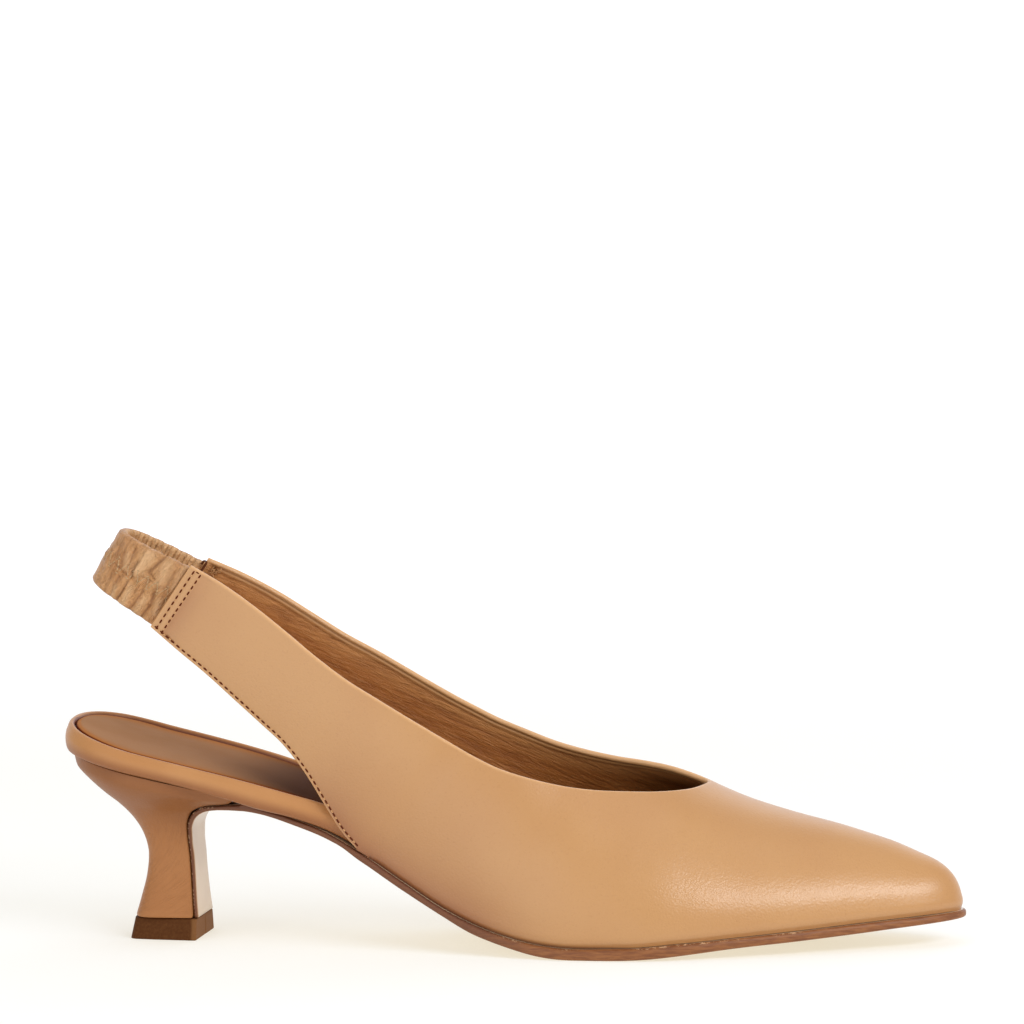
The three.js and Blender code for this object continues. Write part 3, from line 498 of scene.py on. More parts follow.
UPPER_TAN, UPPER_LIGHT, UPPER_SHADE_AND_SPECKLE = tone(190, 139, 87), tone(194, 144, 91), tone(138, 74, 34)
UPPER_EDGE_HIGHLIGHT, UPPER_FOOT_SHADE, CORD_SHADE = tone(234, 184, 130), tone(80, 36, 14), tone(112, 62, 28)
LINING_LIGHT, LINING_BROWN = tone(198, 138, 82), tone(170, 106, 52)
LINING_TROUGH_SHADE, LINING_DEEP_SHADE = tone(128, 70, 32), tone(74, 36, 12)
BED_TAN, BED_LIGHT, BED_SIDE_SHADE = tone(184, 128, 76), tone(190, 135, 83), tone(146, 90, 50)
SOCK_BROWN, SOCK_GREY, SOCK_RIM_REFLECTION = tone(156, 110, 72), tone(164, 120, 84), tone(170, 110, 60)
SOCK_FRONT_SHADE, SEAM_RED = tone(62, 28, 6), tone(112, 50, 24)
COVER_TAN, COVER_LIGHT, COVER_SHADE = tone(166, 108, 60), tone(174, 116, 67), tone(120, 70, 36)
STRAP_TAN, STRAP_LIGHT, STRAP_FOLD_SHADE = tone(194, 137, 86), tone(211, 157, 104), tone(112, 60, 28)
STRAP_INSIDE_PAINTED_LIGHT, STRAP_CREST_HIGHLIGHT = tone(236, 186, 130), tone(234, 190, 142)
EDGE_DARK, EDGE_BROWN, EDGE_TOP_SHADE = tone(118, 66, 30), tone(154, 97, 50), tone(84, 40, 16)
EDGE_WAIST_SHADE, EDGE_PALE, GLUE = tone(104, 58, 30), tone(190, 146, 104), tone(222, 184, 142)
UNDER_BEIGE, UNDER_LIGHT = tone(198, 170, 140), tone(208, 182, 152)
RUBBER_DARK, RUBBER_BROWN, RUBBER_FRONT_PAINTED_LIGHT = tone(84, 48, 22), tone(100, 62, 32), tone(134, 92, 56)
# The bluish paper colour balances the floor's warm painted glow to white where the floor is lit.
PAPER, PAPER_SPECK = (0.42, 0.47, 0.57, 1), (0.43, 0.48, 0.58, 1)
GLOW_NEAR, GLOW_FAR = (0.61, 0.56, 0.44, 1), (0.9, 0.9, 0.9, 1)


class Wire:
    """A node's output; sums and products of wires and numbers add maths nodes."""

    def __init__(self, finish, socket):
        self.finish = finish
        self.socket = socket

    def maths(self, operation, *others, clamp=False):
        return self.finish.node("ShaderNodeMath", {"operation": operation, "use_clamp": clamp},
                                dict(enumerate([self, *others])))[0]

    def __add__(self, other):
        return self.maths("ADD", other)

    def __radd__(self, other):
        return self + other

    def __sub__(self, other):
        return self.maths("SUBTRACT", other)

    def __rsub__(self, other):
        return self * -1 + other

    def __mul__(self, other):
        return self.maths("MULTIPLY", other)

    def __rmul__(self, other):
        return self * other

    def __truediv__(self, other):
        return self.maths("DIVIDE", other)

    def __pow__(self, other):
        return self.maths("POWER", other)

    def above(self, low, high):
        """0 below low, 1 above high, eased between."""
        return self.finish.node("ShaderNodeMapRange", {"interpolation_type": "SMOOTHSTEP"},
                                {"Value": self, "From Min": low, "From Max": high})[0]

    def limited(self):
        """Kept between 0 and 1."""
        return self.maths("ADD", 0.0, clamp=True)


class Outputs:
    """The outputs of a node, by name or number."""

    def __init__(self, finish, node):
        self.finish = finish
        self.node = node

    def __getitem__(self, key):
        return Wire(self.finish, self.node.outputs[key])


class Finish:
    """A material and the nodes that make it."""

    def __init__(self, name):
        self.material = bpy.data.materials.new(name)
        self.material.use_nodes = True
        self.tree = self.material.node_tree
        self.tree.nodes.clear()
        self.place = self.node("ShaderNodeVectorMath", {"operation": "SCALE"},
                               {0: self.node("ShaderNodeTexCoord")["Object"], "Scale": 1 / MM})[0]

    def node(self, kind, settings=None, sockets=None):
        """A node of any kind: its settings first, then the values or wires of its sockets."""
        node = self.tree.nodes.new(kind)
        for key, value in (settings or {}).items():
            setattr(node, key, value)
        for key, value in (sockets or {}).items():
            if isinstance(value, Wire):
                self.tree.links.new(value.socket, node.inputs[key])
            else:
                node.inputs[key].default_value = value
        return Outputs(self, node)

    def mark(self, name):
        """A value kept on the points of the piece."""
        return self.node("ShaderNodeAttribute", {"attribute_name": name})["Fac"]

    def noise(self, scale, detail=3.0, rough=0.5, place=None, twist=0.0):
        return self.node("ShaderNodeTexNoise", None, {
            "Vector": place or self.place, "Scale": scale, "Detail": detail, "Roughness": rough,
            "Distortion": twist})["Fac"]

    def spot(self):
        """The place on the piece, split into X, Y and Z."""
        return self.node("ShaderNodeSeparateXYZ", None, {0: self.place})

    def stretched(self, turn, size):
        """The place on the piece turned by degrees and then stretched."""
        turned = self.node("ShaderNodeMapping", None, {
            "Vector": self.place, "Rotation": tuple(math.radians(a) for a in turn)})[0]
        return self.node("ShaderNodeMapping", None, {"Vector": turned, "Scale": size})[0]

    def blend(self, share, first, second):
        """Colours mixed by a share."""
        return self.node("ShaderNodeMix", {"data_type": "RGBA"}, {0: share, 6: first, 7: second})[2]

    def surface(self, colour, roughness, height=None, depth=0.1, strength=1.0, **constants):
        """The surface: depth is the height of the bump in millimetres."""
        sockets = {"Base Color": colour, "Roughness": roughness}
        if height is not None:
            sockets["Normal"] = self.node("ShaderNodeBump", None, {
                "Height": height, "Distance": depth * MM, "Strength": strength})[0]
        for key, value in constants.items():
            sockets[key.replace("_", " ")] = value
        shader = self.node("ShaderNodeBsdfPrincipled", None, sockets)
        self.node("ShaderNodeOutputMaterial", None, {"Surface": shader["BSDF"]})
        return self.material


def grain(finish, size):
    """Leather grain: small pebbles with fine pores between."""
    pebbles = finish.node("ShaderNodeTexVoronoi", {"feature": "SMOOTH_F1"}, {
        "Vector": finish.place, "Scale": 1.0 / size})["Distance"]
    pores = finish.noise(2.2 / size, 4.0, 0.6)
    return pebbles * 0.8 + pores * 0.3


def calf_leather():
    skin = Finish("tan_calf_leather")
    tint = skin.noise(0.03, 2.0, 0.5)
    colour = skin.blend(tint.above(0.3, 0.7), UPPER_TAN, UPPER_LIGHT)
    # Painted shade: low at the waist, and just in front of the quarter's end stitch rows.
    shade = skin.mark("shade")
    colour = skin.blend(shade.limited(), colour, UPPER_SHADE_AND_SPECKLE)
    # Painted highlight along the folded free edges: topline, wings and quarter ends.
    rim = skin.mark("rim")
    colour = skin.blend((1 - rim.above(0.1, 1.1)) * 0.6, colour, UPPER_EDGE_HIGHLIGHT)
    # Painted shade in a thin band where the lasted upper meets the sole.
    foot = skin.mark("foot")
    colour = skin.blend((1 - foot.above(0.15, 0.9)) * 0.7, colour, UPPER_FOOT_SHADE)
    fine = skin.noise(0.25, 2.0)
    # Small dark speckles are the leather's own uneven tone.
    speckle = skin.noise(1.6, 2.0, 0.5)
    colour = skin.blend(speckle.above(0.55, 0.8) * 0.12, colour, UPPER_SHADE_AND_SPECKLE)
    colour = skin.blend(skin.mark("cord"), colour, CORD_SHADE)
    return skin.surface(colour, 0.30 + fine * 0.08, grain(skin, 0.6), 0.085, 0.75, Specular_IOR_Level=0.7)


def lining_leather():
    skin = Finish("brown_lining_leather")
    crease = skin.noise(1.3, 4.0, 0.62, skin.stretched((0, -25, 0), (0.13, 0.8, 1.0)), 0.7)
    deep = skin.noise(0.5, 3.0, 0.5, skin.stretched((0, -21, 0), (0.10, 0.8, 1.0)), 0.4)
    rim = skin.mark("rim")
    # Painted shade: the lining darkens with depth below the topline.
    colour = skin.blend(rim.above(2.2, 9.0), LINING_LIGHT, LINING_BROWN)
    # Painted highlight on the wrinkle ridges, and painted shade in their troughs.
    colour = skin.blend(crease.above(0.54, 0.68) * 0.45, colour, LINING_LIGHT)
    colour = skin.blend(deep.above(0.55, 0.3) * 0.4, colour, LINING_TROUGH_SHADE)
    # Painted shade deep inside, towards the throat.
    along = skin.spot()["X"]
    colour = skin.blend(along.above(22.0, 54.0) * rim.above(2.6, 9.0) * 0.8, colour, LINING_DEEP_SHADE)
    colour = skin.blend(skin.mark("cord"), colour, CORD_SHADE)
    height = crease * 1.2 + deep * 0.9 + grain(skin, 0.6) * 0.12
    return skin.surface(colour, 0.42, height, 0.42, 0.9, Specular_IOR_Level=0.25)


def bed_leather():
    skin = Finish("footbed_leather")
    tint = skin.noise(0.05, 3.0)
    colour = skin.blend(tint.above(0.3, 0.7), BED_TAN, BED_LIGHT)
    # Painted shade on the lower side of the rolled rim.
    low = skin.mark("side")
    colour = skin.blend(low * 0.9, colour, BED_SIDE_SHADE)
    seam = skin.mark("seam")
    colour = skin.blend(1 - seam.above(0.05, 0.4), colour, SEAM_RED)
    return skin.surface(colour, 0.42, grain(skin, 0.7), 0.09, 0.7, Specular_IOR_Level=0.4)


def sock_leather():
    skin = Finish("sock_leather")
    tint = skin.noise(0.04, 3.0)
    seam = skin.mark("seam")
    colour = skin.blend(tint.above(0.3, 0.7), SOCK_BROWN, SOCK_GREY)
    # Painted reflection of the tan rim, warm near the sock's edge.
    colour = skin.blend(1 - seam.above(1.0, 9.0), colour, SOCK_RIM_REFLECTION)
    # Painted shade towards the front, under the vamp.
    along = skin.spot()["X"]
    colour = skin.blend(along.above(-90.0, -56.0) * 0.92, colour, SOCK_FRONT_SHADE)
    colour = skin.blend(1 - seam.above(0.25, 0.7), colour, SEAM_RED)
    fibre = skin.noise(2.2, 4.0, 0.6)
    return skin.surface(colour, 0.6 + tint * 0.1, fibre + skin.noise(0.3, 2.0), 0.07, 0.6,
                        Specular_IOR_Level=0.03)


def cover_leather():
    skin = Finish("heel_cover_leather")
    tint = skin.noise(0.06, 3.0)
    colour = skin.blend(tint.above(0.3, 0.7), COVER_TAN, COVER_LIGHT)
    # Painted shade towards the top of the heel, under the seat.
    top = skin.mark("top")
    colour = skin.blend(top * 0.6, colour, COVER_SHADE)
    waist = skin.mark("waist")
    spot = skin.spot()
    sweep = ((34 - spot["Z"]) / 28).limited() ** 2.2 * 27.5 + spot["X"]
    swept = skin.node("ShaderNodeCombineXYZ", None, {
        "X": sweep, "Y": spot["Y"] * 0.4, "Z": spot["Z"] * 0.16})[0]
    fold = skin.noise(1.25, 3.0, 0.55, swept, 0.5)
    fine = skin.noise(2.8, 3.0, 0.5, swept, 0.4)
    # Painted shade in the troughs of the wrinkles.
    colour = skin.blend(fold.above(0.52, 0.36) * waist * 0.14, colour, COVER_SHADE)
    height = fold * waist * 1.3 + fine * (0.25 + waist * 0.5) + grain(skin, 0.7) * 0.35
    return skin.surface(colour, 0.46, height, 0.22, 0.75, Specular_IOR_Level=0.35)


def strap_leather():
    skin = Finish("gathered_strap_leather")
    tint = skin.noise(0.12, 3.0)
    colour = skin.blend(tint.above(0.3, 0.7), STRAP_TAN, STRAP_LIGHT)
    # Painted light: the inner face gets a lighter copy of the tan.
    colour = skin.blend(skin.mark("inside"), colour, STRAP_INSIDE_PAINTED_LIGHT)
    # Painted shade in the fold troughs.
    colour = skin.blend(skin.mark("crease").limited() * 0.62, colour, STRAP_FOLD_SHADE)
    seated = skin.mark("seated")
    colour = skin.blend(seated, colour, LINING_LIGHT)
    band = skin.node("ShaderNodeCombineXYZ", None, {
        "X": skin.mark("run"), "Y": skin.mark("height") * 0.42})[0]
    wrinkle = skin.noise(0.75, 4.0, 0.62, band, 1.6)
    fine = skin.noise(1.7, 3.0, 0.6, band, 1.0)
    # Painted shade in the wrinkle troughs.
    colour = skin.blend(wrinkle.above(0.5, 0.28) * 0.35, colour, STRAP_FOLD_SHADE)
    # Painted highlight on the lobes and wrinkle crests.
    crest = (skin.mark("crest") + wrinkle.above(0.55, 0.72) * 0.4).limited()
    colour = skin.blend(crest * 0.7, colour, STRAP_CREST_HIGHLIGHT)
    return skin.surface(colour, 0.31, wrinkle + fine * 0.4 + grain(skin, 0.6) * 0.12, 1.5, 0.9)


def sole_edge():
    paint = Finish("sole_edge_paint")
    streak = paint.noise(0.9, 4.0, 0.6, paint.stretched((0, 0, 0), (0.25, 0.25, 2.0)))
    colour = paint.blend(streak.above(0.3, 0.75), EDGE_DARK, EDGE_BROWN)
    top = paint.mark("top")
    waist = paint.mark("waist")
    # Painted shade on the edge under the arch.
    colour = paint.blend(waist * 0.75, colour, EDGE_WAIST_SHADE)
    # Painted shade along the top of the edge, in the joint under the upper, deepest at the waist.
    colour = paint.blend((1 - top.above(0.1, 0.75)) * (0.06 + waist * 0.79), colour, EDGE_TOP_SHADE)
    spots = paint.noise(1.1, 3.0, 0.7)
    patches = paint.noise(0.055, 1.0)
    flap = paint.mark("flap")
    glue = (1 - top.above(0.15, 0.6)) * spots.above(0.52, 0.58) * (
        patches.above(0.52, 0.6) * (1 - waist) + flap).limited()
    colour = paint.blend(glue * 0.85, colour, GLUE)
    low = paint.mark("low")
    colour = paint.blend((1 - low.above(0.05, 0.22)) * 0.7, colour, EDGE_PALE)
    rough = paint.noise(1.6, 4.0, 0.7)
    return paint.surface(colour, 0.4 + streak * 0.15, streak * 0.7 + rough * 0.7 + glue * 0.4, 0.16, 0.7)


def sole_underside():
    face = Finish("sole_underside")
    tint = face.noise(0.08, 3.0)
    colour = face.blend(tint.above(0.3, 0.7), UNDER_BEIGE, UNDER_LIGHT)
    return face.surface(colour, 0.3, face.noise(1.2, 3.0), 0.03, 0.4, Coat_Weight=0.3, Coat_Roughness=0.15)


def tip_rubber():
    rubber = Finish("tip_rubber")
    speck = rubber.noise(1.5, 4.0, 0.7)
    colour = rubber.blend(speck.above(0.35, 0.8), RUBBER_DARK, RUBBER_BROWN)
    # Painted light on the front face of the top piece.
    along = rubber.spot()["X"]
    colour = rubber.blend(along.above(-92.6, -91.6) * 0.75, colour, RUBBER_FRONT_PAINTED_LIGHT)
    return rubber.surface(colour, 0.65, speck, 0.08, 0.5, Specular_IOR_Level=0.08)


def plain(name, colour, roughness):
    finish = Finish(name)
    speck = finish.noise(3.0, 2.0)
    shade = finish.blend(speck.above(0.3, 0.7), colour, tuple(0.8 * c for c in colour[:3]) + (1.0,))
    return finish.surface(shade, roughness, speck, 0.03, 0.4, Specular_IOR_Level=0.2)


LEATHER = calf_leather()
LINING = lining_leather()
BED = bed_leather()
SOCKING = sock_leather()
COVER = cover_leather()
STRAP = strap_leather()
SOLE_EDGE = sole_edge()
SOLE_FACE = sole_underside()
RUBBER = tip_rubber()
RAW_EDGE = plain("raw_dark_edge", tone(104, 56, 28), 0.6)
THREAD = plain("tan_thread", tone(206, 156, 106), 0.6)
# Needle holes are dark blobs of painted shade, standing for the shade inside the holes.
HOLE_SHADE = plain("needle_hole_shade", tone(96, 42, 16), 0.95)
PALE_THREAD = plain("pale_thread", tone(206, 172, 130), 0.6)


# ---- The upper's walls and folds

def rim_distance(middle, border, feet, tops):
    """Distance of each point from the free edge."""
    flat = middle.reshape(-1, 3)
    rim = np.empty(len(flat))
    for k in range(0, len(flat), 2000):
        block = flat[k:k + 2000, None] - border[None]
        rim[k:k + 2000] = np.sqrt((block ** 2).sum(-1)).min(1)
    rim = rim.reshape(feet.shape)
    return np.where(rim < 0.35, np.minimum(rim, np.minimum(feet, tops)), rim)


def on_last(stations):
    """1 where the upper is lasted to the sole, 0 on the free wings."""
    return smooth(WING_FOOT - 2, WING_FOOT + 8, stations)[:, None]


def outer_face(half, stations, feet, tops):
    """How far the outer face lies from the middle of the wall: hem, stitch rows and feather line."""
    on_wing = smooth(WING_FOOT + 6, WING_FOOT - 2, stations)[:, None]
    from_end = (stations[:, None] - WING_START) * END_PACE
    sewn = np.minimum(smooth(0.6, 1.0, feet), smooth(0.6, 1.0, tops))
    outer = half + 0.1 * on_wing * bump(feet, 0.65, 0.35)
    outer -= 0.14 * on_wing * bump(feet, HEM_ROW, 0.3)
    outer -= 0.14 * sewn * (bump(from_end, END_ROWS[0], 0.3) + bump(from_end, END_ROWS[1], 0.3))
    outer += 0.10 * sewn * bump(from_end, 3.05, 0.7)
    outer -= 0.35 * bump(from_end, 6.6, 1.6) * sewn
    outer -= 0.5 * on_last(stations) * (1 - smooth(0.0, 1.6, feet)) ** 1.5
    outer += 0.18 * on_last(stations) * bump(feet, 2.6, 1.4)
    return outer


def inner_face(half, edge_line):
    """How far the inner face lies from the middle of the wall: the folded edge and its two lines."""
    inner = half + (0.14 * bump(edge_line, 0.9, 0.35) - 0.20 * bump(edge_line, CORD_LINES[0], 0.22))
    return inner + (0.18 * bump(edge_line, 2.1, 0.32) - 0.12 * bump(edge_line, CORD_LINES[1], 0.25))


def upper_shade(stations, feet, tops):
    """Painted shade on the leather: low along the lasted foot, most at the waist, and in front of the stitch
    rows.
    """
    from_end = (stations[:, None] - WING_START) * END_PACE
    waist = (smooth(70, 86, stations) * smooth(152, 116, stations))[:, None]
    low = waist * np.exp(-feet / 7.5) * 0.85 + (1 - waist) * on_last(stations) * 0.22 * np.exp(-feet / 2.0)
    end = 0.5 * np.exp(-np.maximum(from_end - 4.3, 0) / 3.6) * smooth(3.6, 4.6, from_end)
    end = end * mix(1.0, 0.45, smooth(0.5, 1.0, feet / (feet + tops)))
    return np.clip(low + end, 0, 1)


def upper_normals(skins, stations):
    """Outward directions of both sides, made one along the ridge and at the tip."""
    normals = {side: face_out(skins[side][0], side) for side in SIDES}
    closed = stations >= THROAT
    ridge = unit(normals[-1][:, -1] + normals[1][:, -1])
    tip = unit(np.array([1.0, 0.0, 0.25]))
    near_tip = smooth(LENGTH - 2.5, LENGTH, stations)[:, None, None]
    for side in SIDES:
        normals[side][closed, -1] = ridge[closed]
        normals[side] = unit(mix(normals[side], tip, near_tip))
        normals[side][-1] = tip
    return normals


def free_edge(middles, stations):
    """Points along the quarter ends, the wings and the topline, on the middle of the wall."""
    border = []
    for side in SIDES:
        middle = middles[side]
        for line in (middle[0], middle[stations <= WING_FOOT, 0], middle[stations <= THROAT + 0.01, -1]):
            border += [line[:-1], (line[:-1] + line[1:]) / 2, line[-1:]]
    return np.concatenate(border)


def make_upper():
    stations = upper_stations()
    skins = {side: upper_grid(side, stations) for side in SIDES}
    normals = upper_normals(skins, stations)
    middles = {side: skins[side][0] - normals[side] * (WALL / 2) for side in SIDES}
    border = free_edge(middles, stations)
    lasted = on_last(stations) > 0.5
    points, faces, slots = [], [], []
    marks = {"rim": [], "foot": [], "shade": [], "cord": []}
    size = len(stations) * ACROSS
    for side in SIDES:
        _, feet, tops = skins[side]
        start = len(points) * size
        rim = rim_distance(middles[side], border, feet, tops)
        half = WALL / 2 * np.sqrt(np.clip(1 - (1 - np.clip(rim / (WALL / 2), 0, 1)) ** 2, 0, 1))
        edge_line = np.where(tops < 8, rim, 9)
        outer = middles[side] + normals[side] * outer_face(half, stations, feet, tops)[..., None]
        outer[..., 2] = np.where(lasted, outer[..., 2] - GAP * (1 - smooth(0, 0.8, feet)), outer[..., 2])
        inner = middles[side] + normals[side] * (-inner_face(half, edge_line))[..., None]
        points += [outer.reshape(-1, 3), inner.reshape(-1, 3)]
        cord = 0.55 * bump(edge_line, CORD_LINES[0], 0.22) + 0.4 * bump(edge_line, CORD_LINES[1], 0.25)
        marks["cord"] += [np.zeros(size), cord.ravel()]
        # The band of painted shade at the foot narrows towards the toe.
        foot = np.where(lasted, feet + 0.75 * smooth(150, 185, stations)[:, None], 9)
        for name, values in (("rim", rim), ("shade", upper_shade(stations, feet, tops)), ("foot", foot)):
            marks[name] += [values.ravel()] * 2
        quads = strip_faces(len(stations), ACROSS)
        faces += [quads + start, quads + start + size]
        slots += [np.zeros(len(quads), int), np.where(rim.ravel()[quads].mean(1) > 2.1, 1, 0)]

        # The lasted foot closes from the outer to the inner skin.
        a = start + np.arange(len(stations) - 1) * ACROSS
        b = a + size
        faces.append(np.stack([a, b, b + ACROSS, a + ACROSS], axis=-1))
        slots.append(np.zeros(len(a), int))
    piece = build("lasted_upper", np.concatenate(points), np.concatenate(faces), [LEATHER, LINING],
                  np.concatenate(slots), {k: np.concatenate(v) for k, v in marks.items()}, 1e-5)
    settle(piece, "upper_leather", "upper")


# ---- Footbed and sock

def seat_lift(points):
    """The seat stands a little higher along its inner side than along its outer side."""
    along, across = points[..., 0], points[..., 1]
    return smooth(96, 66, along) * mix(SEAT_OUTER, SEAT_INNER, np.clip((across + 24) / 44, 0, 1))


def make_slab(name, stations, levels, lifts, materials, across):
    """A flat slab: levels are insets and heights from its foot round to its top."""
    sides = []
    for (inset, up), share in zip(levels, lifts):
        along, out, inner = edge(stations, inset)
        pair = [stack(along, inner, up), stack(along, out, up)]
        for points in pair:
            points[..., 2] += seat_lift(points) * share
        sides.append(pair)
    centre = 0.5 * (sides[-1][0] + sides[-1][1])
    fill = np.linspace(0, 1, 9)[1:]
    ring = [pair[0] for pair in sides]
    ring += [mix(sides[-1][0], centre, t) for t in fill]
    ring += [mix(centre, sides[-1][1], t) for t in fill]
    ring += [pair[1] for pair in sides[::-1][1:]]
    base = 0.5 * (sides[0][0] + sides[0][1])
    ring += [mix(sides[0][1], base, t) for t in fill]
    ring += [mix(base, sides[0][0], t) for t in fill[:-1]]
    rings = np.stack(ring, axis=1)
    rows = across(rings.shape[1], len(levels), len(fill))
    values = {key: np.broadcast_to(row, rings.shape[:2]) for key, row in rows.items()}
    return build(name, rings.reshape(-1, 3), strip_faces(*rings.shape[:2], close=True), materials,
                 marks=values, weld=5e-6)


def profile(knots, count):
    """A finer smooth line through a short list of (inset, level) knots."""
    knots = np.array(knots, float)
    run = run_of(knots)
    want = np.linspace(0, run[-1], count)
    return np.stack([through(run, knots[:, 0])(want), through(run, knots[:, 1])(want)], axis=-1)


def make_footbed():
    stations = long_stations(1.3)
    inset = bed_inset(stations)
    roll = rise["rim"](stations) * RIM_ROLL
    low = rise["seat"](stations) + GAP
    thick = rise["bed"](stations) - low
    crown = RIM_CROWN * rise["rim"](stations)
    knots = [(0.5, 0.0), (0.2, 0.08), (0.06, 0.24), (0, 0.5), (0.05, 0.74), (0.22, 0.93), (0.5, 1.03),
             (0.75, 1.04), (0.93, 1.0), (1.0, 0.9), (1.08, 0.9)]
    line = profile([(k * RIM_ROLL, h * BED_DEEP) for k, h in knots], 30) / (RIM_ROLL, BED_DEEP)
    levels = []
    lifts = np.clip(line[:, 1], 0, 1)
    for share, height in line:
        over = np.clip((height - 0.93) / 0.11, 0, 1)
        levels.append((inset + roll * share, low + thick * min(height, 1.0) + crown * over))

    def across(count, side, fill):
        seam = np.full(count, 9.0)
        under = np.zeros(count)
        for k in range(side):
            away = max(0.0, 1.0 - line[k][0]) * RIM_ROLL
            seam[k] = seam[2 * side + 2 * fill - 1 - k] = away
            # Share of painted shade, down the rim's side.
            under[k] = under[2 * side + 2 * fill - 1 - k] = 1 - float(smooth(0.2, 0.85, line[k][1]))
        seam[side:side + 2 * fill] = 0
        return {"seam": seam, "side": under}

    piece = make_slab("footbed_cover", stations, levels, lifts, [BED], across)
    settle(piece, "footbed_cover", "footbed")


def make_sock():
    stations = long_stations(1.3)
    inset = bed_inset(stations) + rise["rim"](stations) * RIM_ROLL
    low = rise["bed"](stations) - SOCK_SUNK
    knots = [(0.35, 0.0), (0.3, 0.3), (0.38, 0.62), (0.65, 0.88), (1.1, 1.0), (1.6, 1.0)]
    line = profile(knots, 12)
    levels = [(inset + share, low + SOCK * height) for share, height in line]

    def across(count, side, fill):
        seam = np.full(count, 9.0)
        for k in range(side):
            away = max(0.0, line[k][0] - 0.3)
            seam[k] = seam[2 * side + 2 * fill - 1 - k] = away
        for k in range(2 * fill):
            seam[side + k] = 1.3 + 22 * min(k + 1, 2 * fill - k) / fill
        return {"seam": seam}

    piece = make_slab("sock_lining", stations, levels, [SOCK_LIFT] * len(levels), [SOCKING], across)
    settle(piece, "sock_lining", "sock")


# ---- Outsole, heel and top piece

SIDE_LEVELS = [  # share up the sole's edge, inset as a share of its thickness
    (0, 0.34), (0.04, 0.16), (0.12, 0.05), (0.25, 0), (0.45, 0), (0.62, 0.01), (0.78, 0.06), (0.9, 0.16),
    (1, 0.36),
]
FLAP_RINGS = 70  # rings of the sole that lie on the heel's breast


def make_outsole():
    breast = curves(["ground", "ground_rise", "heel", "heel_rise", "half"],
                    [(i, *row) for i, row in enumerate(BREAST)])
    rings = []
    fill = np.linspace(0, 1, 7)[:-1]

    def add(ground, top, outs, ins, along_levels, up_levels):
        """One ring from the middle of the ground face round the inner edge, the top and the outer edge."""
        inner = [stack(a, y, z) for a, y, z in zip(along_levels, ins, up_levels)]
        outer = [stack(a, y, z) for a, y, z in zip(along_levels, outs, up_levels)]
        ring = [mix(ground, inner[0], t) for t in fill] + inner
        ring += [mix(inner[-1], top, t) for t in (0.33, 0.66)] + [top]
        ring += [mix(top, outer[-1], t) for t in (0.33, 0.66)] + outer[::-1]
        ring += [mix(outer[0], ground, t) for t in fill[1:]]
        rings.append(np.stack(ring))

    for k in np.linspace(0, len(BREAST) - 1, FLAP_RINGS):
        at = {name: float(curve(k)) for name, curve in breast.items()}
        centre = float(plan["centre"](at["ground"]))
        thick = math.hypot(at["heel"] - at["ground"], at["heel_rise"] - at["ground_rise"])
        alongs, ups, outs, ins = [], [], [], []
        for level, inset in SIDE_LEVELS:
            alongs.append(mix(at["ground"], at["heel"], level))
            ups.append(mix(at["ground_rise"], at["heel_rise"], level))
            half = at["half"] - inset * thick * 1.2
            outs.append(centre - half)
            ins.append(centre + half)
        add(stack(at["ground"], centre, at["ground_rise"]), stack(at["heel"], centre, at["heel_rise"]),
            outs, ins, alongs, ups)
    for station in long_stations(1.3, 54.0):
        tuck = float(rise["tuck"](station))
        ease = BALL_EASE * smooth(118, 130, station) * smooth(214, 200, station)
        under = float(rise["under"](station + ease * np.linspace(-1, 1, 9)).mean())
        under -= float(WAIST_THICKER * smooth(84, 91, station) * smooth(140, 118, station))
        to_seat = float(smooth(54.5, 55.5, station) * smooth(72, 62, station))
        sole = mix(float(rise["sole"](station)), float(rise["seat"](station)) - 0.05, to_seat)
        thick = sole - under
        centre = float(plan["centre"](station))
        alongs, ups, outs, ins = [], [], [], []
        for level, inset in SIDE_LEVELS:
            along, out, inner = edge(station, tuck + inset * thick)
            alongs.append(float(along))
            ups.append(under + thick * level)
            outs.append(float(out))
            ins.append(float(inner))
        add(stack(alongs[0], centre, under), stack(alongs[-1], centre, sole), outs, ins, alongs, ups)
    rings = np.stack(rings)
    count, around = rings.shape[:2]
    n, m = len(fill), len(SIDE_LEVELS)
    from_top, from_low = np.full(around, 9.0), np.full(around, 9.0)
    values = np.array([level for level, _ in SIDE_LEVELS])
    inner_at, outer_at = n + np.arange(m), n + m + 5 + np.arange(m)
    from_top[inner_at], from_top[outer_at] = 1 - values, (1 - values)[::-1]
    from_low[inner_at], from_low[outer_at] = values, values[::-1]
    faces = strip_faces(count, around, close=True)
    side = np.isin(faces[:, 0] % around, np.concatenate([inner_at[:-1], outer_at[:-1]]))
    end = list(range(around))[::-1]
    thick = np.linalg.norm(rings[:, n + m - 1] - rings[:, n], axis=-1)[:, None]
    flap = np.zeros((count, around))
    flap[:FLAP_RINGS - 8] = 1
    # The waist mark sets the painted shade under the arch.
    waist = smooth(148, 118, rings[..., 0])
    marks = {"top": (from_top[None] * thick).ravel(), "low": (from_low[None] * thick).ravel(),
             "flap": flap.ravel(), "waist": waist.ravel()}
    slots = np.concatenate([np.where(side, 0, 1), [0]])
    piece = build("outsole_leather", rings.reshape(-1, 3), [*faces.tolist(), end], [SOLE_EDGE, SOLE_FACE],
                  slots, marks, 5e-6)
    settle(piece, "outsole", "outsole")


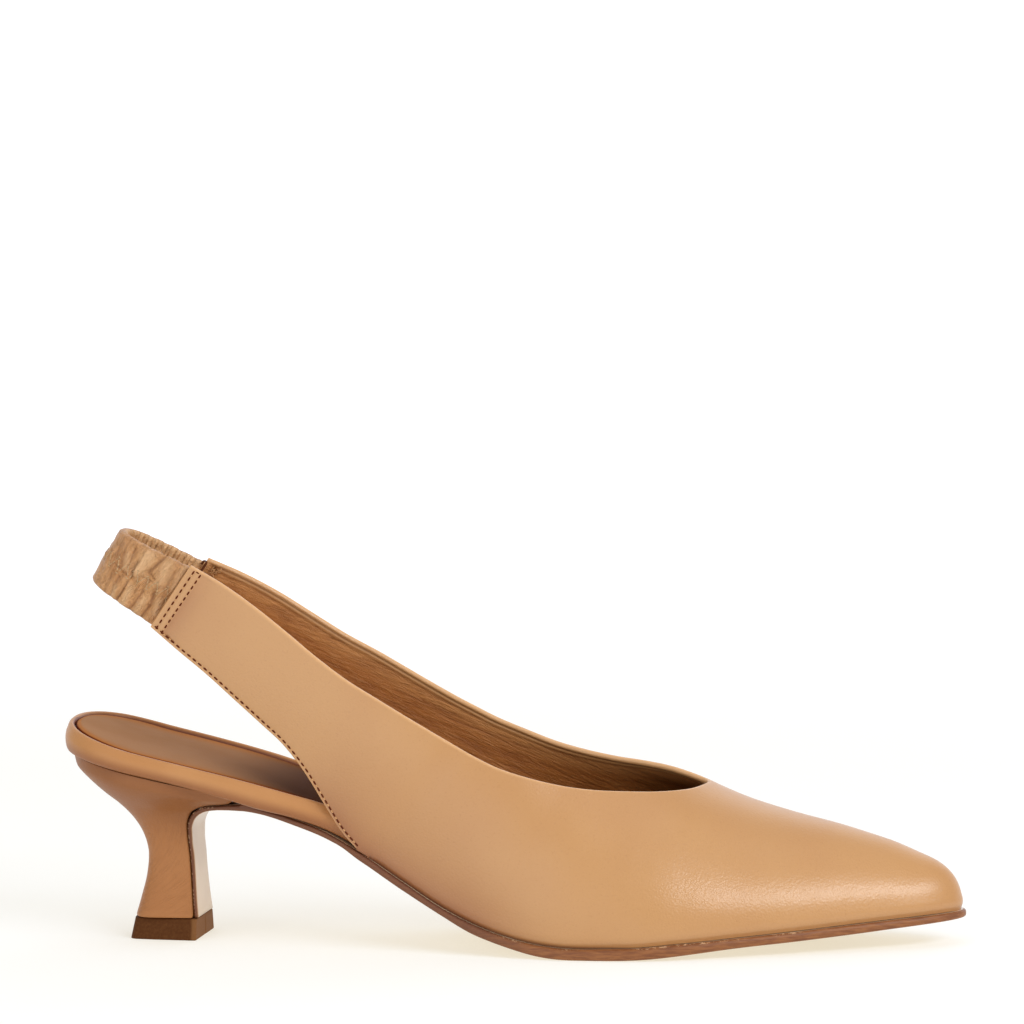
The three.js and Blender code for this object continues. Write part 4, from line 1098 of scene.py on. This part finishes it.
def make_heel():
    foot, flare, top = HEEL[0][0], HEEL[-2][0], HEEL[-1][0]
    rises = np.concatenate([foot + np.array([0, 0.1, 0.3, 0.6]), np.linspace(foot + 1, flare, 62),
                            np.linspace(flare + 0.5, top, 8)])
    side_share = 0.5  # of the heel's depth, from the breast to its widest line
    rings = []
    for up in rises:
        at = {name: float(curve(up)) for name, curve in heel.items()}
        tuck = 0.35 * max(0.0, 1 - (up - foot) / 0.6) ** 2
        share = np.linspace(0, 1, 15)
        widths = mix(at["front_half"], at["half"], np.sin(share * math.pi / 2))
        flank = np.stack([share * side_share, widths], -1)
        turn = np.linspace(0, math.pi / 2, 22)[1:]
        gone = np.power(np.sin(turn), 2 / at["square"])
        back = np.stack([side_share + (1 - side_share) * gone, at["half"] * rounded(gone, at["square"])], -1)
        line = np.concatenate([flank, back])
        along = mix(at["front"] - tuck, at["back"] + tuck, line[:, 0])
        flat = mix(at["front_rise"], up, line[:, 0])
        height = mix(flat, rise["seat"](along), smooth(flare, top, up))
        centre = plan["centre"](along)
        half = np.maximum(line[:, 1] - tuck, 0)
        right = stack(along, centre + half, height)
        left = stack(along, centre - half, height)
        front = [mix(left[0], right[0], t) for t in np.linspace(0, 1, 8)[1:-1]]
        rings.append(np.concatenate([right, left[::-1][1:], front]))
    rings = np.stack(rings)
    count, around = rings.shape[:2]
    waist = np.broadcast_to((smooth(6, 9, rises) * smooth(42, 31, rises))[:, None], (count, around))
    # Share of painted shade, towards the top of the heel.
    shaded = np.broadcast_to(smooth(22, 46, rises)[:, None], (count, around))
    piece = build("heel_cover", rings.reshape(-1, 3), tube_faces(count, around), [COVER], None,
                  {"waist": waist.ravel(), "top": shaded.ravel()})
    settle(piece, "heel_cover", "heel")


def make_top_piece():
    foot_back, foot_front, foot_half = HEEL[0][1], HEEL[0][2], HEEL[0][4]
    front = foot_front + PIECE_LIP
    rings = []
    levels = [(0, -0.35), (0.08, -0.12), (0.3, 0), (1.5, 0), (3, 0), (4.5, 0), (5.8, 0), (6.02, -0.1),
              (PIECE_RISE, -0.3)]
    corner = 0.45
    for up, draw in levels:
        spread = (PIECE_FLARE + 0.5) * (1 - up / PIECE_RISE) - 0.25 + draw
        half = foot_half + spread
        length = front - foot_back + spread
        turn = np.linspace(0, math.pi / 2, 9)
        front_turn = np.linspace(0, math.pi / 2, 4)
        side = [(corner * (1 - math.cos(a)), half - corner * (1 - math.sin(a))) for a in front_turn]
        side += [(length * t, half - PIECE_TAPER * t) for t in (0.2, 0.4, 0.6)]
        side += [(length - PIECE_CORNER * (1 - math.sin(a)),
                  half - PIECE_TAPER - PIECE_CORNER * (1 - math.cos(a))) for a in turn]
        notch = [(0.45 * bump(y, 0.6, 0.28) * (up < 5), y)
                 for y in np.linspace(half - corner, corner - half, 41)[1:-1]]
        ring = [(front + draw - back, across, up) for back, across in side]
        ring += [(front + draw - back, -across, up) for back, across in side[::-1]]
        ring += [(front + draw - float(back), across, up) for back, across in notch[::-1]]
        rings.append(ring)
    rings = np.array(rings, float)
    piece = build("heel_tip", rings.reshape(-1, 3), tube_faces(*rings.shape[:2]), [RUBBER])
    settle(piece, "top_piece", "top_piece")


# ---- The gathered strap

STRAP_FOLDS = [  # outer face of a leg: back and height share at each end, width, depth (a ridge below 0)
    (1.0, 0.43, 0.3, 0.12, 0.50, 0.40),
    (5.0, 0.42, 4.1, 0.23, 0.55, 0.62),
    (4.1, 0.23, 4.5, 0.02, 0.55, 0.62),
    (8.2, 0.37, 8.5, 0.19, 0.50, 0.45),
    (8.5, 0.19, 8.7, 0.02, 0.50, 0.45),
    (13.8, 0.36, 13.8, 0.19, 0.55, 0.62),
    (13.8, 0.19, 14.0, 0.00, 0.55, 0.62),
    (16.9, 0.36, 16.9, 0.17, 0.50, 0.45),
    (16.9, 0.17, 16.3, 0.01, 0.50, 0.45),
    (19.2, 0.32, 19.3, 0.17, 0.50, 0.28),
    (19.3, 0.17, 18.5, 0.03, 0.50, 0.28),
    (8.1, 0.96, 9.2, 0.78, 0.60, 0.62),
    (9.2, 0.78, 9.9, 0.66, 0.60, 0.62),
    (9.7, 0.67, 7.0, 0.60, 0.40, 0.45),
    (17.2, 0.88, 16.7, 0.75, 0.50, 0.45),
    (16.7, 0.75, 16.2, 0.57, 0.50, 0.45),
    (14.3, 0.71, 14.4, 0.56, 0.65, 0.55),
    (14.4, 0.56, 13.5, 0.47, 0.65, 0.55),
    (19.1, 0.73, 18.6, 0.60, 0.60, 0.30),
    (18.6, 0.60, 17.6, 0.52, 0.60, 0.30),
    (3.1, 0.83, 3.2, 0.68, 0.55, 0.38),
    (3.2, 0.68, 2.5, 0.58, 0.55, 0.38),
    (2.4, 0.92, 2.2, 0.82, 0.40, 0.20),
    (21.6, 0.83, 20.9, 0.61, 1.00, 0.25),
    (13.4, 0.45, 11.0, 0.55, 0.30, 0.35),
    (11.0, 0.55, 7.3, 0.56, 0.30, 0.35),
    (5.7, 0.47, 2.8, 0.57, 0.30, 0.30),
    (17.8, 0.48, 13.6, 0.44, 0.30, 0.35),
    (20.6, 0.51, 17.8, 0.48, 0.30, 0.30),
    (2.2, 0.35, 1.2, 0.18, 0.90, -0.22),
    (6.3, 0.27, 6.9, 0.04, 0.90, -0.22),
    (12.0, 0.31, 11.6, 0.01, 0.80, -0.25),
    (16.2, 0.18, 15.7, -0.00, 0.70, -0.18),
    (12.2, 0.89, 12.8, 0.61, 1.40, -0.30),
    (6.0, 0.86, 5.1, 0.65, 1.50, -0.25),
    (0.9, 0.93, 0.5, 0.64, 1.00, -0.25),
    (17.8, 0.72, 16.5, 0.54, 0.80, -0.20),
]
STRAP_NOTCHES = [(4.5, 0), (8.7, 0), (14.0, 0), (16.4, 0), (3.0, 1), (8.0, 1), (12.9, 1), (17.2, 1)]


def strap_path():
    """Middle line of the band: how far back, and how far across."""
    leg_half = WING[0][5] - WALL - GAP - BED_PLAY / 2 - STRAP_THICK / 2
    back = np.linspace(-STRAP_SEATED, STRAP_LOOP - STRAP_BEND, 40, endpoint=False)
    parted = np.where(back < 0, -back * STRAP_SPREAD, 0.4 * np.sin(back / STRAP_LOOP * math.pi))
    half = leg_half + parted
    turn = np.linspace(0, math.pi / 2, 60)
    bend = STRAP_LOOP - STRAP_BEND * (1 - np.sin(turn))
    bend_half = (half[-1] - 0.2) * np.power(np.maximum(np.cos(turn), 0), 0.8)
    backs, halves = np.concatenate([back, bend]), np.concatenate([half, bend_half])
    line = np.concatenate([np.stack([backs, -halves], -1), np.stack([backs, halves], -1)[::-1][1:]])
    run = run_of(line)
    want = np.linspace(0, run[-1], 420)
    return np.stack([np.interp(want, run, line[:, k]) for k in range(2)], axis=-1), want


def strap_band(back, across, heading, share, out):
    """Points of the band: share up its width, out from its middle."""
    share = np.asarray(share, float)
    tilt_top, tilt_foot = math.radians(STRAP_TOP_TILT), math.radians(STRAP_FOOT_TILT)
    top_way = np.array([-math.cos(tilt_top), 0, math.sin(tilt_top)])
    foot_way = np.array([-math.cos(tilt_foot), 0, math.sin(tilt_foot)])
    low = np.array([WING[0][0], 0, WING[0][1]])
    high = np.array([TOPLINE[0][0], 0, TOPLINE[0][1]])
    reach = back - out * heading[..., 1]
    foot = low + foot_way * (reach * STRAP_FOOT_PACE)[..., None]
    top = high + top_way * (reach * STRAP_TOP_PACE)[..., None]
    spot = mix(foot, top, mix(STRAP_EDGE, 1 - STRAP_EDGE, share)[..., None])
    spot[..., 1] = across + out * heading[..., 0]
    return spot


def gather(run, back, share, outside):
    """Depth of the strap's folds at each point, how much painted shade they take, and the crests between,
    which take a painted highlight.
    """
    depth = np.zeros(np.broadcast(run, share).shape)
    crease, lobes = depth.copy(), depth.copy()
    if outside:
        place = np.where(run < run.max() / 2, back, back * 0.95 + 0.6)
        for b0, s0, b1, s1, width, deep in STRAP_FOLDS:
            way = np.array([b1 - b0, (s1 - s0) * STRAP_WIDE])
            x, y = place - b0, (share - s0) * STRAP_WIDE
            t = np.clip((x * way[0] + y * way[1]) / (way @ way), 0, 1)
            away = np.hypot(x - t * way[0], y - t * way[1])
            if deep > 0:
                trough = 0.45 * np.exp(-(away / width) ** 2) + 0.55 * np.exp(-(away / (2.7 * width)) ** 2)
                depth = np.maximum(depth, 1.5 * deep * trough)
                crease = np.maximum(crease, deep * 1.5 * np.exp(-(away / (0.75 * width)) ** 2))
            else:
                lobes += deep * np.exp(-(away / (1.35 * width)) ** 2)
        by_seam = np.exp(-((share - 0.5) / 0.24) ** 2)
        pucker = np.sin(place * 3.9 + 2.4 * np.sin(share * 11.0 + place * 0.8))
        small = np.sin(place * 5.1 + share * 9.0) * np.sin(place * 1.7 - share * 31.0)
        depth = (depth + 1.3 * lobes + 0.14 * pucker * by_seam + 0.06 * small) * smooth(0.0, 0.9, back)
        crease = crease * smooth(0.0, 0.9, back)
    else:
        sway = 0.2 * np.sin(run * 1.7) + 0.5 * (share - 0.5) + 0.15 * np.sin(run * 0.6)
        lobe = np.abs(np.sin((run + sway) * math.pi / GATHER_PITCH))
        depth += 0.5 * (1 - lobe) ** 1.2 * smooth(0.1, 1.2, back)
        crease += (1 - lobe) ** 3 * smooth(0.1, 1.2, back)
        lobes -= 0.2 * lobe ** 4
    return depth, crease, np.clip(-lobes / 0.3, 0, 1) * smooth(0.0, 0.9, back)


def seated_half(back):
    """Half thickness of the strap's seated end on its inner face, drawn down to an edge."""
    return mix(0.4, -1.25, smooth(-0.8, -4.8, back))


def make_strap():
    """The gathered strap; gives the points of its outer face and their run along it."""
    line, run = strap_path()
    heading = unit(np.gradient(line, axis=0))
    thick = STRAP_THICK / 2
    share = np.linspace(0, 1, 65)[None, :]
    back, across = line[:, :1], line[:, 1:]
    high = 0.004 * (1 - np.abs(np.sin(run * math.pi / GATHER_PITCH)))[:, None] * smooth(0.1, 1.2, back)
    low = np.zeros_like(high)
    for place, top in STRAP_NOTCHES:
        dip = 0.009 * bump(back, place, 0.9)
        low, high = (low, high + dip) if top else (low + dip, high)
    margin = np.minimum(share, 1 - share) * STRAP_WIDE
    round_off = np.sqrt(np.clip(1 - (1 - np.clip(margin / 1.3, 0, 1)) ** 2, 0, 1))
    spread = low - 0.055 + share * (1.055 - low - high)
    layers = {"place": [], "crease": [], "crest": []}
    for outside in (True, False):
        depth, dark, crest = gather(run[:, None], back, share, outside)
        body = thick * (0.92 + 0.1 * np.sin(share * math.pi)) - depth
        if not outside:
            body = mix(body, seated_half(back), smooth(0.3, -0.9, back) * np.ones_like(share))
        out = body * round_off * (-1 if outside else 1)
        layers["place"].append(strap_band(back, across, heading[:, None], spread, out))
        layers["crease"].append(np.clip(dark, 0, 1) * (1.0 if outside else 0.6))
        layers["crest"].append(crest)
    ring, crease, crest = (np.concatenate([outer, inner[:, ::-1][:, 1:-1]], axis=1)
                           for outer, inner in layers.values())
    count, around = ring.shape[:2]
    marks = {"crease": crease, "crest": crest, "seated": smooth(0.6, -0.5, back), "run": run[:, None],
             "height": np.concatenate([share[0], share[0][::-1][1:-1]]) * STRAP_WIDE,
             "inside": (np.arange(around) >= share.shape[1]) * 0.8}
    piece = build("gathered_strap", ring.reshape(-1, 3), tube_faces(count, around), [STRAP], None,
                  {name: np.broadcast_to(values, (count, around)).ravel() for name, values in marks.items()})
    settle(piece, "strap_leather", "strap")
    return layers["place"][0], run


def make_raw_edges():
    """The dark raw end of each quarter's lining behind the strap; the far one hooks over its top."""
    line, run = strap_path()
    around = 12
    turn = np.linspace(0, 2 * math.pi, around, endpoint=False)
    for name, at in (("near", run[0] + STRAP_SEATED + 0.15), ("far", run[-1] - STRAP_SEATED - 0.15)):
        i = int(np.searchsorted(run, at))
        back, across = line[i]
        heading = unit(line[i + 1] - line[i - 1])
        reach = STRAP_THICK / 2 + 0.35
        way = [(share, 0.9) for share in np.linspace(0.30, 0.92 if name == "near" else 0.98, 22)]
        if name == "far":
            way += [(0.985 + 0.055 * math.sin(a), 0.35 + 0.55 * math.cos(a))
                    for a in np.linspace(0.15, math.pi, 13)]
            way += [(0.965, -0.2)]
        shares, ahead = np.array(way).T
        rows = strap_band(back - ahead, across, heading, shares, reach)
        wide = unit(strap_band(np.array(back + 1), across, heading, 0.6, 0.0)
                    - strap_band(np.array(back), across, heading, 0.6, 0.0))
        thick = unit(np.cross(unit(np.gradient(rows, axis=0)), wide))
        ring = rows[:, None] + wide * (0.36 * np.cos(turn))[None, :, None]
        ring = ring + thick[:, None] * (0.40 * np.sin(turn))[None, :, None]
        piece = build(name + "_raw_edge", ring.reshape(-1, 3), tube_faces(len(rows), around), [RAW_EDGE])
        settle(piece, "upper_leather")


# ---- Stitches

def stitch_tree():
    """Lays a thread or a needle hole on each point, along its heading and facing outward."""
    tree = bpy.data.node_groups.new("stitch_row", "GeometryNodeTree")
    face = tree.interface
    face.new_socket("Points", in_out="INPUT", socket_type="NodeSocketGeometry")
    for name in ("Length", "Width", "Rise"):
        face.new_socket(name, in_out="INPUT", socket_type="NodeSocketFloat")
    face.new_socket("Finish", in_out="INPUT", socket_type="NodeSocketMaterial")
    face.new_socket("Stitches", in_out="OUTPUT", socket_type="NodeSocketGeometry")
    new, join = tree.nodes.new, tree.links.new
    group_in, group_out = new("NodeGroupInput"), new("NodeGroupOutput")
    ball = new("GeometryNodeMeshUVSphere")
    ball.inputs["Segments"].default_value = 8
    ball.inputs["Rings"].default_value = 6
    ball.inputs["Radius"].default_value = 0.5
    size = new("ShaderNodeCombineXYZ")
    for axis, name in zip("XYZ", ("Length", "Width", "Rise")):
        join(group_in.outputs[name], size.inputs[axis])
    turn = None
    for axis, pivot, name in (("X", "AUTO", "heading"), ("Z", "X", "outward")):
        way = new("GeometryNodeInputNamedAttribute")
        way.data_type = "FLOAT_VECTOR"
        way.inputs["Name"].default_value = name
        align = new("FunctionNodeAlignRotationToVector")
        align.axis, align.pivot_axis = axis, pivot
        join(way.outputs["Attribute"], align.inputs["Vector"])
        if turn:
            join(turn, align.inputs["Rotation"])
        turn = align.outputs["Rotation"]
    lay = new("GeometryNodeInstanceOnPoints")
    join(group_in.outputs["Points"], lay.inputs["Points"])
    join(ball.outputs["Mesh"], lay.inputs["Instance"])
    join(turn, lay.inputs["Rotation"])
    join(size.outputs["Vector"], lay.inputs["Scale"])
    real, dress = new("GeometryNodeRealizeInstances"), new("GeometryNodeSetMaterial")
    join(lay.outputs["Instances"], real.inputs["Geometry"])
    join(real.outputs["Geometry"], dress.inputs["Geometry"])
    join(group_in.outputs["Finish"], dress.inputs["Material"])
    join(dress.outputs["Geometry"], group_out.inputs["Stitches"])
    return tree


STITCH_TREE = stitch_tree()


def stitches(name, points, headings, outwards, size, material, slot):
    """A row of stitches as one plain mesh; size is length, width and rise in millimetres."""
    mesh = bpy.data.meshes.new(name + "_places")
    mesh.from_pydata(in_frame(points).tolist(), [], [])
    for key, values in (("heading", headings), ("outward", outwards)):
        layer = mesh.attributes.new(key, "FLOAT_VECTOR", "POINT")
        layer.data.foreach_set("vector", np.asarray(unit(values), np.float32).ravel())
    places = bpy.data.objects.new(name + "_places", mesh)
    bpy.context.scene.collection.objects.link(places)
    row = places.modifiers.new("row", "NODES")
    row.node_group = STITCH_TREE
    sockets = {item.name: item.identifier for item in STITCH_TREE.interface.items_tree
               if item.in_out == "INPUT"}
    for key, value in zip(("Length", "Width", "Rise"), size):
        row[sockets[key]] = value * MM
    row[sockets["Finish"]] = material
    shown = places.evaluated_get(bpy.context.evaluated_depsgraph_get())
    plain_mesh = bpy.data.meshes.new_from_object(shown)
    plain_mesh.name = name
    bpy.data.objects.remove(places)
    plain_mesh.polygons.foreach_set("use_smooth", [True] * len(plain_mesh.polygons))
    piece = bpy.data.objects.new(name, plain_mesh)
    bpy.context.scene.collection.objects.link(piece)
    settle(piece, slot)


def spaced(line, pitch, margin=0.0):
    """Points a pitch apart on a line, with their headings; a margin is left at both ends."""
    run = run_of(line)
    count = max(1, int((run[-1] - margin - margin) / pitch))
    want = margin + (run[-1] - margin - margin) * (np.arange(count) + 0.5) / count
    spots = np.stack([np.interp(want, run, line[:, k]) for k in range(3)], axis=-1)
    ahead = np.stack([np.interp(want + 0.2, run, line[:, k]) for k in range(3)], axis=-1)
    behind = np.stack([np.interp(want - 0.2, run, line[:, k]) for k in range(3)], axis=-1)
    return spots, unit(ahead - behind)


def sideways(headings, side):
    """Directions out of the shoe's side, square to the headings."""
    out = np.zeros_like(headings)
    out[:, 1] = side
    return unit(out - headings * (out * headings).sum(-1, keepdims=True))


def upper_lines(side):
    """Stitch lines of one quarter with their pitch, and whether thread shows: along the wing, the
    double row at its end, and the bridge between the two rows, which shows as a hole alone."""
    down = np.linspace(WING_START + 1.9 / END_PACE, WING_FOOT - 0.6, 160)
    lines = [(upper_at(down, side, from_foot=HEM_ROW), ROW_PITCH, True)]
    for away in END_ROWS:
        station = WING_START + away / END_PACE
        row = [upper_at(station, side, share=share) for share in np.linspace(0.058, 0.93, 40)]
        lines.append((np.concatenate(row), END_PITCH, True))
    ends = [upper_at(WING_START + away / END_PACE, side, share=0.955)[0] for away in (1.9, 4.2)]
    lines.append((np.array([mix(*ends, t) for t in np.linspace(0, 1, 5)]), BRIDGE_PITCH, False))
    return lines


def make_quarter_stitches():
    threads, holes = [], []
    for side in SIDES:
        for line, pitch, threaded in upper_lines(side):
            if threaded:
                places, headings = spaced(line, pitch)
                outwards = sideways(headings, side)
                threads.append((places - outwards * 0.08, headings, outwards))
            places, headings = spaced(line, pitch, 0.001 - pitch / 2 if threaded else 0.0)
            outwards = sideways(headings, side)
            holes.append((places - outwards * 0.06, headings, outwards))
    for name, rows, size, finish in (("quarter_thread", threads, THREAD_SIZE, THREAD),
                                     ("quarter_needle_holes", holes, HOLE_SIZE, HOLE_SHADE)):
        stitches(name, *(np.concatenate(parts) for parts in zip(*rows)), size, finish, "upper_leather")


def make_zigzag(face, run):
    """Thread down the middle of the strap, from one quarter round to the other."""
    margin = STRAP_SEATED + 0.6
    turns = np.arange(margin, run[-1] - STRAP_SEATED - 0.6, ZIGZAG_PITCH)
    shares = np.where(np.arange(len(turns)) % 2 == 0, 0.42, 0.62) + 0.015 * np.sin(turns * 2.1)
    normal = unit(np.cross(np.gradient(face, axis=0), np.gradient(face, axis=1)))
    if ((face - face.mean((0, 1))) * normal)[..., 1].sum() < 0:
        normal = -normal
    places, outwards = [], []
    for k in range(len(turns) - 1):
        for t in np.linspace(0, 1, 5)[:-1]:
            i = int(np.clip(np.searchsorted(run, mix(turns[k], turns[k + 1], t)), 1, len(run) - 2))
            j = int(mix(shares[k], shares[k + 1], t) * (face.shape[1] - 1))
            places.append(face[i, j] + normal[i, j] * 0.08)
            outwards.append(normal[i, j])
    headings = unit(np.gradient(np.array(places), axis=0))
    stitches("strap_zigzag", places, headings, np.array(outwards), ZIGZAG_SIZE, PALE_THREAD, "strap_leather")


def make_bar_tacks():
    """The tack that holds each end of the strap to the lining."""
    random = np.random.default_rng(4)
    places, headings = [], []
    for side in SIDES:
        for _ in range(TACKS):
            station = WING_START + random.uniform(2.2, 4.2)
            spot = upper_at(station, side, share=random.uniform(0.80, 0.93))[0]
            strap_half = STRAP_THICK / 2 + float(seated_half(WING_START - station))
            deep = WALL + GAP + BED_PLAY / 2 + strap_half + 0.05
            places.append(spot - np.array([0, side * deep, 0]))
            headings.append([random.normal(0.6, 0.5), 0, random.normal(0.2, 0.6)])
    outwards = np.array([[0, -side, 0.15] for side in SIDES for _ in range(TACKS)], float)
    stitches("bar_tacks", places, np.array(headings), outwards, TACK_SIZE, THREAD, "upper_leather")


make_upper()
make_footbed()
make_sock()
make_outsole()
make_heel()
make_top_piece()
strap_face, strap_run = make_strap()
make_quarter_stitches()
make_zigzag(strap_face, strap_run)
make_bar_tacks()
make_raw_edges()


# ---- Floor, light and camera

def make_floor():
    """A pale floor that sweeps up behind the shoe; it glows as painted light, warm and dimmer near the shoe
    so that its shadows stay light and warm, and brighter away from it.
    """
    width, front, back, turn, height = 5.0, -3.0, 2.6, 0.8, 3.2
    line = [(front, 0.0), (0.0, 0.0), (back, 0.0)]
    line += [(back + turn * math.sin(a), turn * (1 - math.cos(a)))
             for a in np.linspace(0, math.pi / 2, 16)[1:]]
    line.append((back + turn, height))
    verts = [(x, y, z) for y, z in line for x in (-width, width)]
    faces = [(2 * i, 2 * i + 1, 2 * i + 3, 2 * i + 2) for i in range(len(line) - 1)]
    mesh = bpy.data.meshes.new("floor")
    mesh.from_pydata(verts, [], faces)
    mesh.polygons.foreach_set("use_smooth", [True] * len(mesh.polygons))
    paper = Finish("pale_paper")
    speck = paper.noise(0.02, 2.0)
    colour = paper.blend(speck, PAPER, PAPER_SPECK)
    away = paper.node("ShaderNodeVectorMath", {"operation": "LENGTH"}, {0: paper.place})["Value"]
    glow = paper.blend(away.above(350, 1500), GLOW_NEAR, GLOW_FAR)
    mesh.materials.append(paper.surface(colour, 0.9, Emission_Color=glow, Emission_Strength=1.0,
                                        Specular_IOR_Level=0.0))
    floor = bpy.data.objects.new("floor", mesh)
    bpy.context.scene.collection.objects.link(floor)


def make_light(name, place, aim, size, power):
    lamp = bpy.data.lights.new(name, "AREA")
    lamp.shape = "RECTANGLE"
    lamp.size, lamp.size_y = size
    lamp.energy = power
    light = bpy.data.objects.new(name, lamp)
    light.location = place
    light.rotation_euler = (Vector(aim) - Vector(place)).to_track_quat("-Z", "Y").to_euler()
    bpy.context.scene.collection.objects.link(light)


def make_camera():
    turn, lift, roll = (math.radians(a) for a in (CAMERA_TURN, CAMERA_LIFT, CAMERA_ROLL))
    target = Vector(in_frame(CAMERA_AIM))
    back = Vector((math.sin(turn) * math.cos(lift), -math.cos(turn) * math.cos(lift), math.sin(lift)))
    level = Vector((0, 0, 1)).cross(back).normalized()
    plumb = back.cross(level)
    right = level * math.cos(roll) + plumb * math.sin(roll)
    up = plumb * math.cos(roll) - level * math.sin(roll)
    lens = bpy.data.cameras.new("camera")
    lens.sensor_width = SENSOR
    lens.sensor_fit = "HORIZONTAL"
    lens.lens = LENS_PIXELS / PICTURE_PIXELS * SENSOR
    lens.clip_start, lens.clip_end = 0.05, 50.0
    camera = bpy.data.objects.new("camera", lens)
    facing = Matrix((right, up, back)).transposed().to_4x4()
    camera.matrix_world = Matrix.Translation(target + back * CAMERA_AWAY) @ facing
    bpy.context.scene.collection.objects.link(camera)
    bpy.context.scene.camera = camera


def make_room():
    world = bpy.data.worlds.new("room")
    world.use_nodes = True
    sky = world.node_tree.nodes["Background"].inputs
    sky["Color"].default_value = (1.0, 0.985, 0.96, 1.0)
    sky["Strength"].default_value = 0.45
    bpy.context.scene.world = world
    bpy.context.scene.view_settings.view_transform = "Standard"


make_floor()
make_room()
make_light("toe_softbox", (0.92, -0.70, 0.76), (0.08, 0.0, 0.02), (0.95, 0.30), 8.8)
make_light("side_softbox", (-0.80, -1.28, 0.50), (-0.03, 0.0, 0.04), (1.4, 1.2), 5.6)
make_light("top_softbox", (-0.1, -0.1, 1.45), (0.0, 0.0, 0.0), (1.5, 1.2), 4.4)
make_light("back_softbox", (0.35, 0.85, 0.95), (0.05, 0.0, 0.03), (0.9, 0.6), 1.2)
make_camera()
